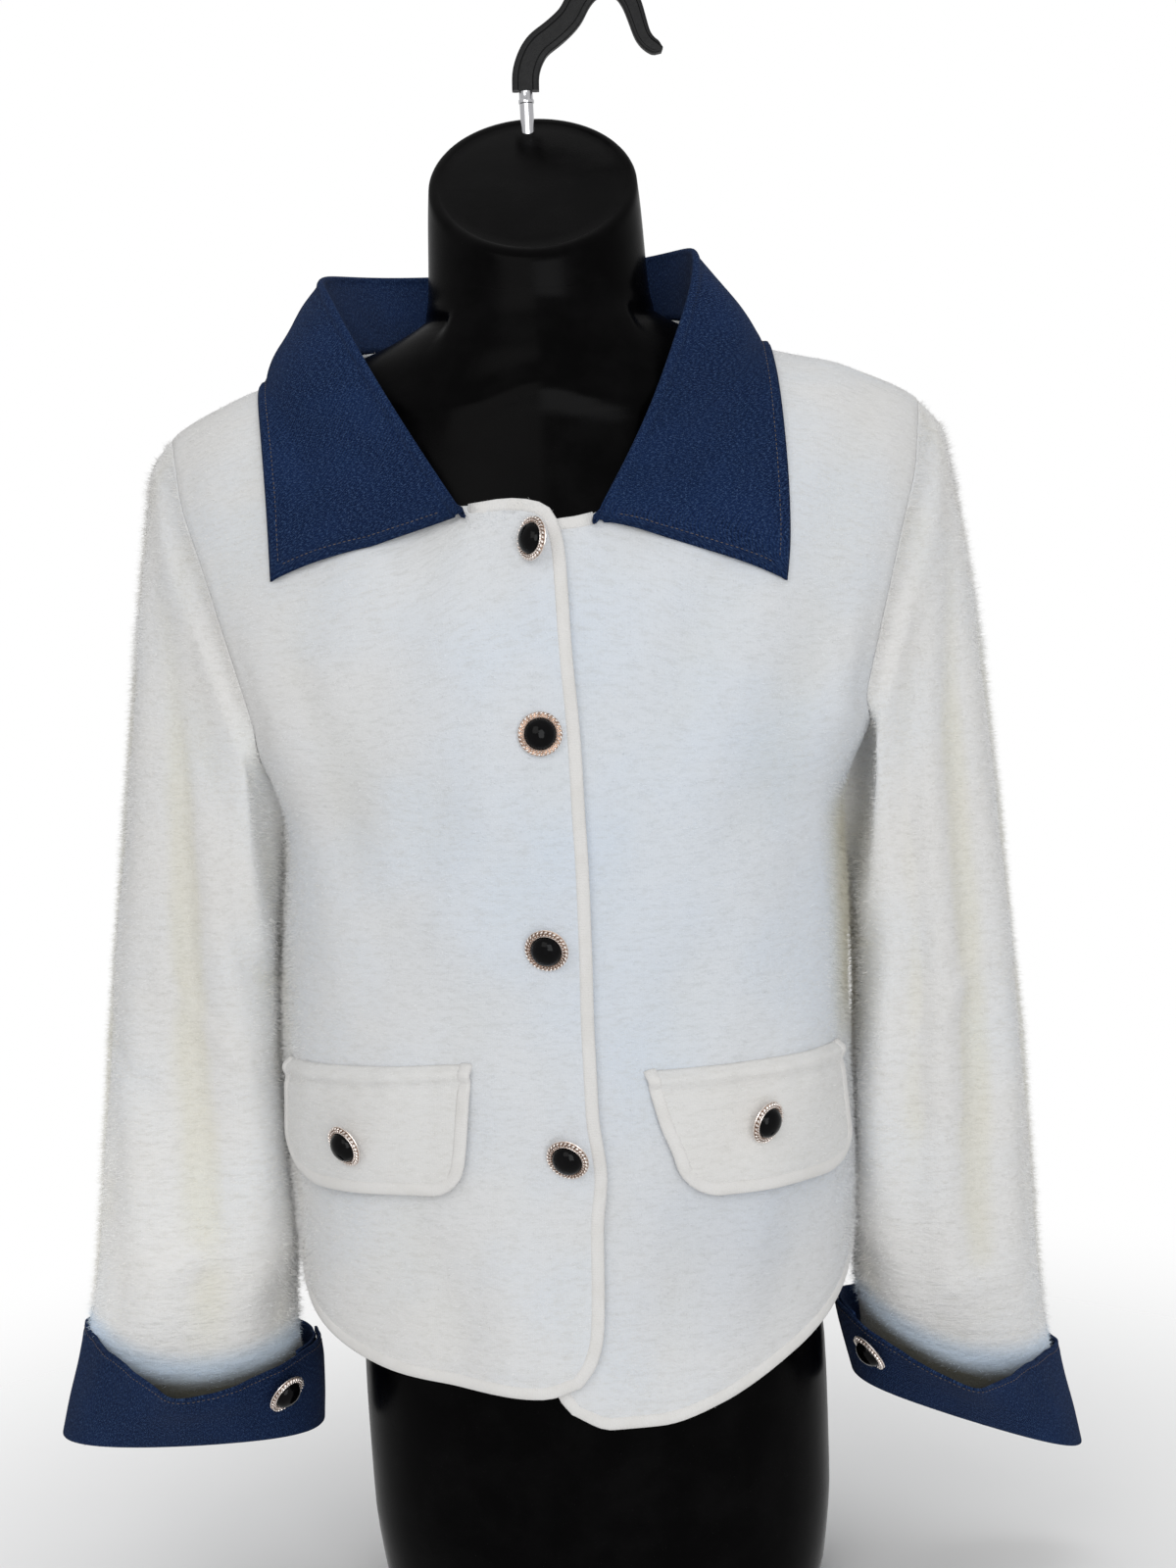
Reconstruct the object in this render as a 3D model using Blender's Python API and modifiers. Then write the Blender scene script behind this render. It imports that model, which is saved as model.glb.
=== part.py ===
"""Knit jacket with denim collar and cuffs, closed on a limbless hanging dress form. Metres, +Z up, front at -Y."""

import math

import bmesh
import bpy
import numpy as np
from mathutils import Matrix, Vector

# ---- cloth and seams
KNIT = 0.0016
DENIM = 0.0014
SEAM = 0.0006
SLEEVE_GAP = 0.0006
SLEEVE_TURN = 0.0036
COLLAR_GAP = 0.0012
AIR = 0.0006
FLAP_AIR = 0.0009
BINDING_WIDTH = 0.0065
BINDING_WALL = 0.0008
LAP = 0.0052
ARMPIT = 0.425
SIDE_HEM = 0.203
NARROW = 0.006
RIGHT = -1
LEFT = 1

# ---- the jacket's outer surface: level sections below the shoulders, then a roof up to the shoulder ridge
SQUARE = 2.5
ROOF_SQUARE = 2.2
ROOF_START = 0.44
ROOF_TOP = 0.70
ROOF_RUN = 0.25
BODY_COLUMNS = ("height", "half", "centre", "front", "back")
BODY = (
    (0.10, 0.1520, -0.0060, 0.1210, 0.1020),
    (0.20, 0.1535, -0.0065, 0.1205, 0.1005),
    (0.27, 0.1560, -0.0065, 0.1200, 0.0990),
    (0.33, 0.1570, -0.0065, 0.1205, 0.0985),
    (0.38, 0.1545, -0.0040, 0.1225, 0.0990),
    (0.44, 0.1500, -0.0010, 0.1235, 0.1010),
    (0.50, 0.1780, 0.0000, 0.1200, 0.1030),
    (0.58, 0.2030, 0.0000, 0.1120, 0.1030),
    (0.65, 0.2160, 0.0000, 0.1050, 0.1030),
    (0.72, 0.2190, 0.0000, 0.1020, 0.1090),
)
RIDGE_COLUMNS = ("across", "height")
RIDGE = (
    (0.000, 0.750),
    (0.040, 0.736),
    (0.062, 0.718),
    (0.080, 0.706),
    (0.100, 0.6975),
    (0.125, 0.6885),
    (0.157, 0.6790),
    (0.180, 0.6695),
    (0.200, 0.6580),
    (0.216, 0.6430),
)

# ---- panel outlines seen from the front or back: across, height
# columns: across, height
FRONT_EDGE_RIGHT = (
    (-0.0075, 0.1525),
    (0.0000, 0.1630),
    (0.0045, 0.1790),
    (0.0060, 0.2000),
    (0.0076, 0.2350),
    (0.0106, 0.2620),
    (0.0078, 0.2950),
    (0.0078, 0.3300),
    (0.0092, 0.3900),
    (0.0092, 0.4700),
    (0.0072, 0.5300),
    (0.0062, 0.5780),
    (0.0030, 0.5950),
    (-0.0045, 0.6035),
)
NECK_RIGHT = (
    (-0.0160, 0.6060),
    (-0.0434, 0.6050),
    (-0.0600, 0.6190),
    (-0.0800, 0.6460),
    (-0.0960, 0.6760),
    (-0.1020, 0.6955),
)
FRONT_EDGE_LEFT = (
    (-0.0120, 0.1370),
    (-0.0180, 0.1450),
    (-0.0208, 0.1560),
    (-0.0218, 0.1750),
    (-0.0220, 0.2450),
    (-0.0220, 0.3400),
    (-0.0220, 0.4400),
    (-0.0220, 0.5300),
    (-0.0215, 0.5700),
    (-0.0190, 0.5830),
    (-0.0130, 0.5920),
)
NECK_LEFT = (
    (0.0000, 0.5970),
    (0.0226, 0.5990),
    (0.0400, 0.6130),
    (0.0590, 0.6420),
    (0.0730, 0.6780),
    (0.0800, 0.7040),
)
# columns: turn, height
HEM_RIGHT = (
    (0.00, 0.1475),
    (0.08, 0.1475),
    (0.20, 0.1515),
    (0.34, 0.1560),
    (0.50, 0.1640),
    (0.66, 0.1780),
    (0.82, 0.1930),
    (1.00, 0.2030),
)
HEM_LEFT = (
    (-0.06, 0.1345),
    (0.06, 0.1280),
    (0.16, 0.1285),
    (0.30, 0.1370),
    (0.48, 0.1560),
    (0.66, 0.1740),
    (0.84, 0.1920),
    (1.00, 0.2030),
)
HEM_BACK = (
    (0.00, 0.1500),
    (0.30, 0.1530),
    (0.55, 0.1660),
    (0.78, 0.1880),
    (1.00, 0.2030),
)
ARMHOLE_FRONT = (
    (0.1560, 0.4600),
    (0.1640, 0.5000),
    (0.1760, 0.5450),
    (0.1880, 0.5860),
    (0.1990, 0.6230),
    (0.2065, 0.6515),
)
ARMHOLE_BACK = (
    (0.1580, 0.4600),
    (0.1690, 0.5000),
    (0.1840, 0.5450),
    (0.1940, 0.5860),
    (0.2020, 0.6230),
    (0.2065, 0.6515),
)
NECK_BACK = (
    (-0.1020, 0.6955),
    (-0.0800, 0.6990),
    (-0.0500, 0.7030),
    (-0.0130, 0.7045),
    (0.0250, 0.7045),
    (0.0560, 0.7040),
    (0.0800, 0.7040),
)

# ---- sleeves: the outer and inner lines, how deep the tube is each way, and where its middle hangs
SLEEVE_COLUMNS = ("along", "out_x", "out_z", "in_x", "in_z", "front", "back", "middle")
SLEEVE_RIGHT = (
    (0.00, 0.2066, 0.6515, 0.1490, 0.4255, 0.055, 0.053, 0.000),
    (0.06, 0.2170, 0.6300, 0.1560, 0.4150, 0.054, 0.053, 0.000),
    (0.13, 0.2250, 0.5920, 0.1620, 0.4030, 0.052, 0.051, 0.000),
    (0.22, 0.2330, 0.5450, 0.1655, 0.3860, 0.050, 0.049, -0.001),
    (0.31, 0.2400, 0.4990, 0.1680, 0.3680, 0.048, 0.047, -0.002),
    (0.42, 0.2495, 0.4400, 0.1694, 0.3420, 0.047, 0.045, -0.002),
    (0.53, 0.2580, 0.3790, 0.1698, 0.3120, 0.046, 0.043, -0.002),
    (0.66, 0.2660, 0.3070, 0.1690, 0.2650, 0.045, 0.041, -0.002),
    (0.78, 0.2735, 0.2420, 0.1680, 0.2160, 0.044, 0.040, -0.002),
    (0.89, 0.2810, 0.1800, 0.1685, 0.1690, 0.044, 0.040, -0.002),
    (0.95, 0.2900, 0.1430, 0.1660, 0.1420, 0.044, 0.041, -0.002),
    (1.00, 0.3020, 0.1025, 0.1620, 0.1105, 0.044, 0.042, -0.002),
)
SLEEVE_LEFT = (
    (0.00, 0.2066, 0.6515, 0.1490, 0.4255, 0.055, 0.053, 0.000),
    (0.06, 0.2180, 0.6290, 0.1545, 0.4150, 0.054, 0.053, 0.000),
    (0.13, 0.2260, 0.5900, 0.1570, 0.4030, 0.052, 0.051, 0.000),
    (0.22, 0.2320, 0.5450, 0.1575, 0.3860, 0.050, 0.049, -0.001),
    (0.31, 0.2365, 0.5000, 0.1578, 0.3680, 0.048, 0.047, -0.002),
    (0.42, 0.2420, 0.4330, 0.1578, 0.3420, 0.047, 0.045, -0.002),
    (0.53, 0.2465, 0.3640, 0.1570, 0.3110, 0.046, 0.043, -0.002),
    (0.66, 0.2500, 0.2830, 0.1550, 0.2620, 0.045, 0.041, -0.002),
    (0.78, 0.2520, 0.2120, 0.1535, 0.2130, 0.044, 0.040, -0.002),
    (0.89, 0.2545, 0.1470, 0.1515, 0.1720, 0.043, 0.039, -0.002),
    (0.95, 0.2600, 0.1090, 0.1510, 0.1450, 0.042, 0.039, -0.002),
    (1.00, 0.2700, 0.0700, 0.1515, 0.1160, 0.042, 0.040, -0.002),
)
# long soft ridges down each sleeve: where round it starts and ends in degrees (0 outer, 90 front, 180 inner),
# from and to along it, its half width in degrees and its height
# columns: start, end, from, to, spread, height
SLEEVE_FOLDS_RIGHT = (
    (92, 128, 0.14, 0.86, 20, 0.0055),
    (42, 62, 0.10, 0.98, 18, 0.0040),
    (68, 92, 0.18, 0.90, 13, -0.0040),
    (292, 262, 0.12, 0.92, 22, 0.0050),
    (236, 222, 0.20, 0.80, 16, -0.0035),
)
SLEEVE_FOLDS_LEFT = (
    (88, 104, 0.12, 0.92, 20, 0.0050),
    (128, 140, 0.16, 0.80, 14, -0.0040),
    (48, 60, 0.20, 0.90, 15, -0.0030),
    (284, 256, 0.12, 0.94, 20, 0.0050),
    (318, 300, 0.24, 0.85, 16, -0.0030),
)

# ---- turned-back cuffs: level of the bottom fold and the free top edge at the outer and inner side
CUFF_COLUMNS = ("up", "out_x", "out_z", "in_x", "in_z", "front", "back", "front_drop")
CUFF_RIGHT = (
    (0.00, 0.3055, 0.0990, 0.1590, 0.1070, 0.0480, 0.0460, -0.004),
    (0.35, 0.2995, 0.1215, 0.1578, 0.1235, 0.0620, 0.0490, 0.000),
    (0.70, 0.2932, 0.1440, 0.1576, 0.1390, 0.0750, 0.0510, 0.008),
    (1.00, 0.2885, 0.1640, 0.1590, 0.1540, 0.0850, 0.0530, 0.016),
)
CUFF_LEFT = (
    (0.00, 0.2735, 0.0665, 0.1480, 0.1125, 0.0460, 0.0440, -0.004),
    (0.35, 0.2695, 0.0865, 0.1440, 0.1290, 0.0600, 0.0470, 0.000),
    (0.70, 0.2650, 0.1060, 0.1405, 0.1450, 0.0740, 0.0490, 0.007),
    (1.00, 0.2618, 0.1230, 0.1385, 0.1600, 0.0860, 0.0510, 0.014),
)
SLEEVE_SQUARE = 1.95
CUFF_SQUARE = 1.95
CUFF_LAP = 0.0030
CUFF_FRONT_END = 196
CUFF_BACK_END = 160

# ---- collar: neck seam, roll line and free edge at each station, from the right front end round the back
COLLAR_COLUMNS = ("roll_x", "roll_y", "roll_z", "edge_x", "edge_y", "edge_z", "puff")
COLLAR = (
    (-0.0450, -0.1050, 0.6040, -0.1468, -0.0805, 0.5660, 0.000),
    (-0.0510, -0.1015, 0.6145, -0.1475, -0.0745, 0.5850, 0.001),
    (-0.0610, -0.0940, 0.6330, -0.1490, -0.0640, 0.6140, 0.003),
    (-0.0770, -0.0770, 0.6640, -0.1520, -0.0450, 0.6440, 0.005),
    (-0.0940, -0.0560, 0.6960, -0.1555, -0.0230, 0.6700, 0.006),
    (-0.1110, -0.0280, 0.7250, -0.1570, 0.0000, 0.6820, 0.006),
    (-0.1180, 0.0040, 0.7390, -0.1530, 0.0280, 0.6795, 0.006),
    (-0.1130, 0.0330, 0.7440, -0.1420, 0.0540, 0.6730, 0.006),
    (-0.0900, 0.0610, 0.7465, -0.1120, 0.0760, 0.6690, 0.006),
    (-0.0560, 0.0760, 0.7475, -0.0700, 0.0880, 0.6680, 0.006),
    (-0.0180, 0.0815, 0.7480, -0.0200, 0.0925, 0.6680, 0.006),
    (0.0200, 0.0770, 0.7480, 0.0280, 0.0905, 0.6680, 0.006),
    (0.0520, 0.0620, 0.7475, 0.0720, 0.0830, 0.6690, 0.006),
    (0.0750, 0.0380, 0.7475, 0.1055, 0.0640, 0.6720, 0.006),
    (0.0840, 0.0060, 0.7450, 0.1220, 0.0360, 0.6795, 0.006),
    (0.0830, -0.0250, 0.7280, 0.1260, 0.0050, 0.6870, 0.006),
    (0.0715, -0.0530, 0.6930, 0.1255, -0.0230, 0.6765, 0.006),
    (0.0575, -0.0760, 0.6585, 0.1265, -0.0470, 0.6525, 0.005),
    (0.0430, -0.0925, 0.6295, 0.1270, -0.0690, 0.6180, 0.003),
    (0.0305, -0.1010, 0.6080, 0.1250, -0.0815, 0.5760, 0.001),
    (0.0250, -0.1030, 0.5985, 0.1215, -0.0870, 0.5535, 0.000),
)
COLLAR_ROLL = 0.0030
COLLAR_OFF = 0.0056

# ---- pocket flaps on the fronts: outline corners as across and height
FLAP_COLUMNS = ("in_x", "lean", "out_x", "top_in", "top_out", "bottom_in", "bottom_out", "corner_in", "corner_out")
FLAP_RIGHT = ((0.0540, 0.0050, 0.1560, 0.3225, 0.3190, 0.2555, 0.2560, 0.018, 0.024),)
FLAP_LEFT = ((0.0345, 0.0110, 0.1400, 0.3135, 0.3140, 0.2475, 0.2480, 0.024, 0.018),)
FLAP_OFF_TOP = 0.0037
FLAP_OFF_BOTTOM = 0.0065

# ---- buttons: a crowned rim and the dome set in it, as radius and height above the cloth
RIM = (
    (0.0000, 0.0020),
    (0.0080, 0.0020),
    (0.0083, 0.0035),
    (0.0093, 0.0044),
    (0.0101, 0.0034),
    (0.0113, 0.0026),
    (0.0112, 0.0010),
    (0.0050, 0.0004),
    (0.0000, 0.0004),
)
DOME = (
    (0.0000, 0.0078),
    (0.0031, 0.0073),
    (0.0057, 0.0058),
    (0.0073, 0.0038),
    (0.0076, 0.0024),
    (0.0000, 0.0024),
)
BUTTON_SIDES = 14
# columns: across, height, turn, nod, seat
FRONT_BUTTONS = (
    (-0.0070, 0.5835, -26, 4, -0.0001),
    (-0.0098, 0.4885, 6, 2, -0.0001),
    (-0.0118, 0.3810, -10, 8, -0.0001),
    (-0.0070, 0.2735, -14, 10, 0.0002),
)
# columns: degrees round the cuff, share of its height, seat
CUFF_BUTTONS = ((140.5, 0.67, -0.0014), (136.0, 0.76, -0.00125))
# columns: across, height, turn, nod, off
FLAP_BUTTONS = (
    (-0.1155, 0.2810, -12, 10, 0.0049),
    (0.0900, 0.2830, 14, 10, 0.0052),
)

# ---- dress form: level sections, the neck and its slanting cap
FORM_COLUMNS = ("height", "half", "front", "back")
FORM = (
    (0.000, 0.1220, 0.0860, 0.0820),
    (0.060, 0.1290, 0.0920, 0.0900),
    (0.130, 0.1300, 0.0930, 0.0910),
    (0.200, 0.1230, 0.0890, 0.0850),
    (0.270, 0.1150, 0.0840, 0.0780),
    (0.340, 0.1190, 0.0900, 0.0800),
    (0.410, 0.1310, 0.1050, 0.0860),
    (0.460, 0.1390, 0.1130, 0.0920),
    (0.510, 0.1560, 0.1090, 0.0940),
    (0.580, 0.1830, 0.0990, 0.0930),
    (0.650, 0.1920, 0.0930, 0.0900),
    (0.720, 0.1930, 0.0900, 0.0880),
)
FORM_SQUARE = 2.3
FORM_BELOW_CLOTH = 0.0030
NECK_COLUMNS = ("height", "half", "front", "back")
NECK = (
    (0.560, 0.0300, 0.0300, 0.0300),
    (0.620, 0.0620, 0.0560, 0.0520),
    (0.660, 0.0690, 0.0590, 0.0560),
    (0.700, 0.0640, 0.0560, 0.0530),
    (0.730, 0.0605, 0.0545, 0.0510),
    (0.770, 0.0585, 0.0540, 0.0500),
    (0.800, 0.0560, 0.0530, 0.0500),
)
NECK_LEAN_START = 0.690
CAP_MIDDLE = 0.785
CAP_SLOPE = 0.90
CAP_ROUND = 0.0030
FORM_SIDES = 28
PIN_BACK = 0.0400
PIN_RADIUS = 0.0038
PIN_SINK = 0.0100
PIN_TOP = 0.8440
# columns: across, height, width
HOOK = (
    (-0.0015, 0.8444, 0.0152),
    (-0.0012, 0.8520, 0.0152),
    (0.0010, 0.8600, 0.0150),
    (0.0062, 0.8685, 0.0150),
    (0.0165, 0.8760, 0.0148),
    (0.0255, 0.8840, 0.0144),
    (0.0315, 0.8935, 0.0140),
    (0.0390, 0.9000, 0.0136),
    (0.0480, 0.9015, 0.0130),
    (0.0560, 0.8975, 0.0120),
    (0.0605, 0.8900, 0.0110),
    (0.0635, 0.8800, 0.0100),
    (0.0662, 0.8710, 0.0092),
    (0.0710, 0.8655, 0.0084),
    (0.0765, 0.8630, 0.0074),
)
HOOK_THICK = 0.0070

COLOURS = {
    "knit": (0.86, 0.83, 0.76, 1.0),
    "knit_binding": (0.87, 0.85, 0.79, 1.0),
    "denim": (0.018, 0.035, 0.105, 1.0),
    "button_metal": (0.80, 0.64, 0.55, 1.0),
    "button_black": (0.006, 0.006, 0.007, 1.0),
    "form_plastic": (0.010, 0.009, 0.009, 1.0),
    "pin_steel": (0.75, 0.75, 0.77, 1.0),
    "hook_plastic": (0.016, 0.016, 0.017, 1.0),
}
SHINE = {
    "knit": (0.0, 0.95),
    "knit_binding": (0.0, 0.85),
    "denim": (0.0, 0.85),
    "button_metal": (1.0, 0.28),
    "button_black": (0.0, 0.08),
    "form_plastic": (0.0, 0.16),
    "pin_steel": (1.0, 0.12),
    "hook_plastic": (0.0, 0.40),
}

for old in list(bpy.data.objects):
    bpy.data.objects.remove(old)
JACKET = bpy.data.collections.new("knit_jacket_on_form")
CUTTERS = bpy.data.collections.new("cutters")
bpy.context.scene.collection.children.link(JACKET)
bpy.context.scene.collection.children.link(CUTTERS)


def curve_through(xs, ys, at):
    """A smooth curve through the rows, with no overshoot, read at one place."""
    xs = np.asarray(xs, float)
    ys = np.asarray(ys, float)
    step = np.diff(xs)
    rise = np.diff(ys) / step
    slope = np.empty(len(xs))
    slope[0] = rise[0]
    slope[-1] = rise[-1]
    for k in range(1, len(xs) - 1):
        if rise[k - 1] * rise[k] <= 0.0:
            slope[k] = 0.0
        else:
            slope[k] = 2.0 * rise[k - 1] * rise[k] / (rise[k - 1] + rise[k])
    k = int(np.clip(np.searchsorted(xs, at) - 1, 0, len(xs) - 2))
    t = float(np.clip((at - xs[k]) / step[k], 0.0, 1.0))
    h = step[k]
    a = 2 * t**3 - 3 * t**2 + 1
    b = t**3 - 2 * t**2 + t
    return a * ys[k] + b * h * slope[k] + (1 - a) * ys[k + 1] + (t**3 - t**2) * h * slope[k + 1]


def read(table, columns, name, at):
    return curve_through([row[0] for row in table], [row[columns.index(name)] for row in table], at)


def body(name, at):
    return read(BODY, BODY_COLUMNS, name, at)


def ridge(across):
    return read(RIDGE, RIDGE_COLUMNS, "height", abs(across))


def rounded(angle, square):
    """A point of the unit superellipse: sideways and forward parts."""
    s = math.sin(angle)
    c = math.cos(angle)
    size = (abs(s) ** square + abs(c) ** square) ** (1.0 / square)
    return s / size, c / size


def roof_level(rise):
    return ROOF_START + (ROOF_TOP - ROOF_START) * rise


def to_surface(across, height):
    """Front-view place to the surface's own two coordinates: turn round the body and run up it."""
    if height <= ROOF_START:
        level = height
        run = height
    else:
        rise = min((height - ROOF_START) / (ridge(across) - ROOF_START), 1.0)
        level = roof_level(rise)
        roof = (1.0 - rise**ROOF_SQUARE) ** (1.0 / ROOF_SQUARE)
        run = ROOF_START + ROOF_RUN * math.atan2(rise, roof)
    share = (across - body("centre", level)) / body("half", level)
    share = max(-1.0, min(1.0, share))
    depth = (1.0 - abs(share) ** SQUARE) ** (1.0 / SQUARE)
    return math.atan2(share, depth), run


def on_body(face, turn, run, out=0.0):
    """A point of the jacket's outer surface. face is -1 for the front and 1 for the back."""
    column = "front" if face < 0 else "back"
    side, ahead = rounded(turn, SQUARE)
    if run <= ROOF_START:
        level = run
        across = body("centre", level) + (body("half", level) + out) * side
        return Vector((across, face * (body(column, level) + out) * ahead, run))
    rise, roof = rounded(min((run - ROOF_START) / ROOF_RUN, math.pi / 2), ROOF_SQUARE)
    level = roof_level(rise)
    across = body("centre", level) + (body("half", level) + out) * side
    height = ROOF_START + (ridge(across) + out - ROOF_START) * rise
    return Vector((across, face * (body(column, level) + out) * roof * ahead, height))


def path(points):
    """Reads a chain of surface places by its share of length, smoothly."""
    chain = np.array(points, float)
    scaled = chain * np.array((0.15, 1.0))
    run = np.concatenate(([0.0], np.cumsum(np.linalg.norm(np.diff(scaled, axis=0), axis=1))))
    run /= run[-1]
    return lambda at: np.array((curve_through(run, chain[:, 0], at), curve_through(run, chain[:, 1], at)))


def coons(low_u, high_u, low_v, high_v):
    """A patch between four edges that meet at its corners."""
    p00 = low_u(0.0)
    p01 = low_u(1.0)
    p10 = high_u(0.0)
    p11 = high_u(1.0)

    def place(u, v):
        sides = (1 - u) * low_u(v) + u * high_u(v)
        ends = (1 - v) * low_v(u) + v * high_v(u)
        corners = (1 - u) * ((1 - v) * p00 + v * p01) + u * ((1 - v) * p10 + v * p11)
        return sides + ends - corners

    return place


def lap_lift(across, height):
    """The right front rises over the left one toward its edge."""
    part = min(max((across + 0.080) / 0.045, 0.0), 1.0)
    return LAP * part * part * (3 - 2 * part)


HALF_SEAM = SEAM / 2 / 0.15
QUARTER = math.pi / 2 - HALF_SEAM
TOP_RUN = ROOF_START + ROOF_RUN * (math.pi / 2) - SEAM * 0.9


def front_panel(side):
    edge = FRONT_EDGE_RIGHT if side == RIGHT else FRONT_EDGE_LEFT
    neck = NECK_RIGHT if side == RIGHT else NECK_LEFT
    hem = HEM_RIGHT if side == RIGHT else HEM_LEFT
    inner = [to_surface(x, z) for x, z in edge + neck]
    inner[-1] = (inner[-1][0], TOP_RUN)
    tip = to_surface(side * 0.2065, 0.6515)
    outer = [(side * QUARTER, SIDE_HEM), (side * QUARTER, 0.30), (side * QUARTER, ARMPIT)]
    outer += [to_surface(side * x, z) for x, z in ARMHOLE_FRONT[:-1]]
    outer.append((tip[0], TOP_RUN))
    marks = (chain_shares(outer)[2], chain_shares(inner)[len(edge) + 1])
    start = inner[0]
    bottom = [start]
    for turn, height in hem[1:]:
        bottom.append((side * turn * QUARTER, height))
    bottom[-1] = outer[0]
    place = coons(path(inner), path(outer), path(bottom), path([inner[-1], outer[-1]]))

    def point(u, v):
        turn, run = place(u, v)
        lift = 0.0
        if side == RIGHT:
            flat = on_body(-1, turn, run)
            lift = lap_lift(flat.x, flat.z)
        return on_body(-1, turn, run, lift)

    return point, marks


def back_panel():
    def side_chain(side):
        tip = to_surface(side * 0.2065, 0.6515)
        chain = [(side * QUARTER, SIDE_HEM), (side * QUARTER, 0.30), (side * QUARTER, ARMPIT)]
        chain += [to_surface(side * x, z) for x, z in ARMHOLE_BACK[:-1]]
        chain.append((tip[0], TOP_RUN))
        return chain

    right = side_chain(RIGHT)
    left = side_chain(LEFT)
    bottom = [(-turn * QUARTER, height) for turn, height in reversed(HEM_BACK)]
    bottom += [(turn * QUARTER, height) for turn, height in HEM_BACK[1:]]
    neck = [to_surface(x, z) for x, z in NECK_BACK]
    neck[0] = (neck[0][0], TOP_RUN)
    neck[-1] = (neck[-1][0], TOP_RUN)
    top = [right[-1]] + neck + [left[-1]]
    shares = chain_shares(top)

    def top_edge(u):
        turn = np.interp(u, shares, [p[0] for p in top])
        run = np.interp(u, shares, [p[1] for p in top])
        return np.array((turn, run))

    place = coons(path(right), path(left), path(bottom), top_edge)

    def point(u, v):
        turn, run = place(u, v)
        return on_body(1, turn, run)

    return point, shares, chain_shares(right)[2]


def chain_shares(points):
    chain = np.array(points, float) * np.array((0.15, 1.0))
    run = np.concatenate(([0.0], np.cumsum(np.linalg.norm(np.diff(chain, axis=0), axis=1))))
    return run / run[-1]


def spaced(marks, counts):
    """Shares through the marks, each stretch cut into its own count of even steps."""
    shares = [0.0]
    for low, high, count in zip(marks, marks[1:], counts):
        shares += [low + (high - low) * (k + 1) / count for k in range(count)]
    return shares


def grid_points(point, us, vs):
    return [[point(u, v) for v in vs] for u in us]


def grid_normals(points, outward):
    normals = []
    for i in range(len(points)):
        row = []
        for j in range(len(points[0])):
            along = points[min(i + 1, len(points) - 1)][j] - points[max(i - 1, 0)][j]
            up = points[i][min(j + 1, len(points[0]) - 1)] - points[i][max(j - 1, 0)]
            row.append((along.cross(up) * outward).normalized())
        normals.append(row)
    return normals


def material(name):
    made = bpy.data.materials.get(name)
    if made:
        return made
    made = bpy.data.materials.new(name)
    made.use_nodes = True
    shader = made.node_tree.nodes["Principled BSDF"]
    shader.inputs["Base Color"].default_value = COLOURS[name]
    shader.inputs["Metallic"].default_value = SHINE[name][0]
    shader.inputs["Roughness"].default_value = SHINE[name][1]
    made.diffuse_color = COLOURS[name]
    return made


def add_object(name, data, look, flat=False):
    made = bpy.data.objects.new(name, data)
    JACKET.objects.link(made)
    own = material(look)
    if any(look_object.data.materials and look_object.data.materials[0] == own
           for look_object in JACKET.objects if look_object is not made):
        own = own.copy()
        own.name = look + "_" + name
    data.materials.append(own)
    if not flat and hasattr(data, "polygons"):
        for face in data.polygons:
            face.use_smooth = True
    return made


def grid_mesh(name, points, closed=False, caps=False):
    """A grid primitive moved onto the points; closed joins its first and last columns into a tube."""
    cols = len(points)
    rows = len(points[0])
    mesh = bmesh.new()
    bmesh.ops.create_grid(mesh, x_segments=cols - 1, y_segments=rows - 1, size=1.0)
    for vert in mesh.verts:
        i = round((vert.co.x + 1) / 2 * (cols - 1))
        j = round((vert.co.y + 1) / 2 * (rows - 1))
        vert.co = points[i][j]
    if closed:
        bmesh.ops.remove_doubles(mesh, verts=mesh.verts, dist=0.00001)
    if caps:
        bmesh.ops.holes_fill(mesh, edges=mesh.edges)
    if closed and caps:
        bmesh.ops.recalc_face_normals(mesh, faces=mesh.faces)
    data = bpy.data.meshes.new(name)
    mesh.to_mesh(data)
    mesh.free()
    return data


def shell(name, points, look, wall, outward, closed=False):
    """An open surface on the points, turned outward, with its wall grown inward."""
    data = grid_mesh(name, points, closed)
    if outward < 0:
        data.flip_normals()
    made = add_object(name, data, look)
    wall_maker = made.modifiers.new("wall", "SOLIDIFY")
    wall_maker.thickness = wall
    wall_maker.offset = -1.0
    wall_maker.use_even_offset = True
    wall_maker.use_rim = True
    return made


def binding(name, stations, wall, air=AIR):
    """A strip folded over a cloth edge: stations give the edge point, the way into the cloth and its normal."""
    reach = BINDING_WIDTH
    thick = BINDING_WALL
    rings = []
    for edge, into, normal in stations:
        profile = (
            (reach, air),
            (reach, air + thick),
            (-air - thick, air + thick),
            (-air - thick, -wall - air - thick),
            (reach, -wall - air - thick),
            (reach, -wall - air),
            (-air, -wall - air),
            (-air, air),
        )
        ring = [edge + into * a + normal * b for a, b in profile]
        rings.append(ring + [ring[0]])
    return add_object(name, grid_mesh(name, rings_to_columns(rings), closed=True, caps=True), "knit_binding")


def rings_to_columns(rings):
    return [[ring[k] for ring in rings] for k in range(len(rings[0]))]


def edge_station(points, normals, at, inner):
    edge = points[at[0]][at[1]]
    into = (points[inner[0]][inner[1]] - edge).normalized()
    return edge, into, normals[at[0]][at[1]]


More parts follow.
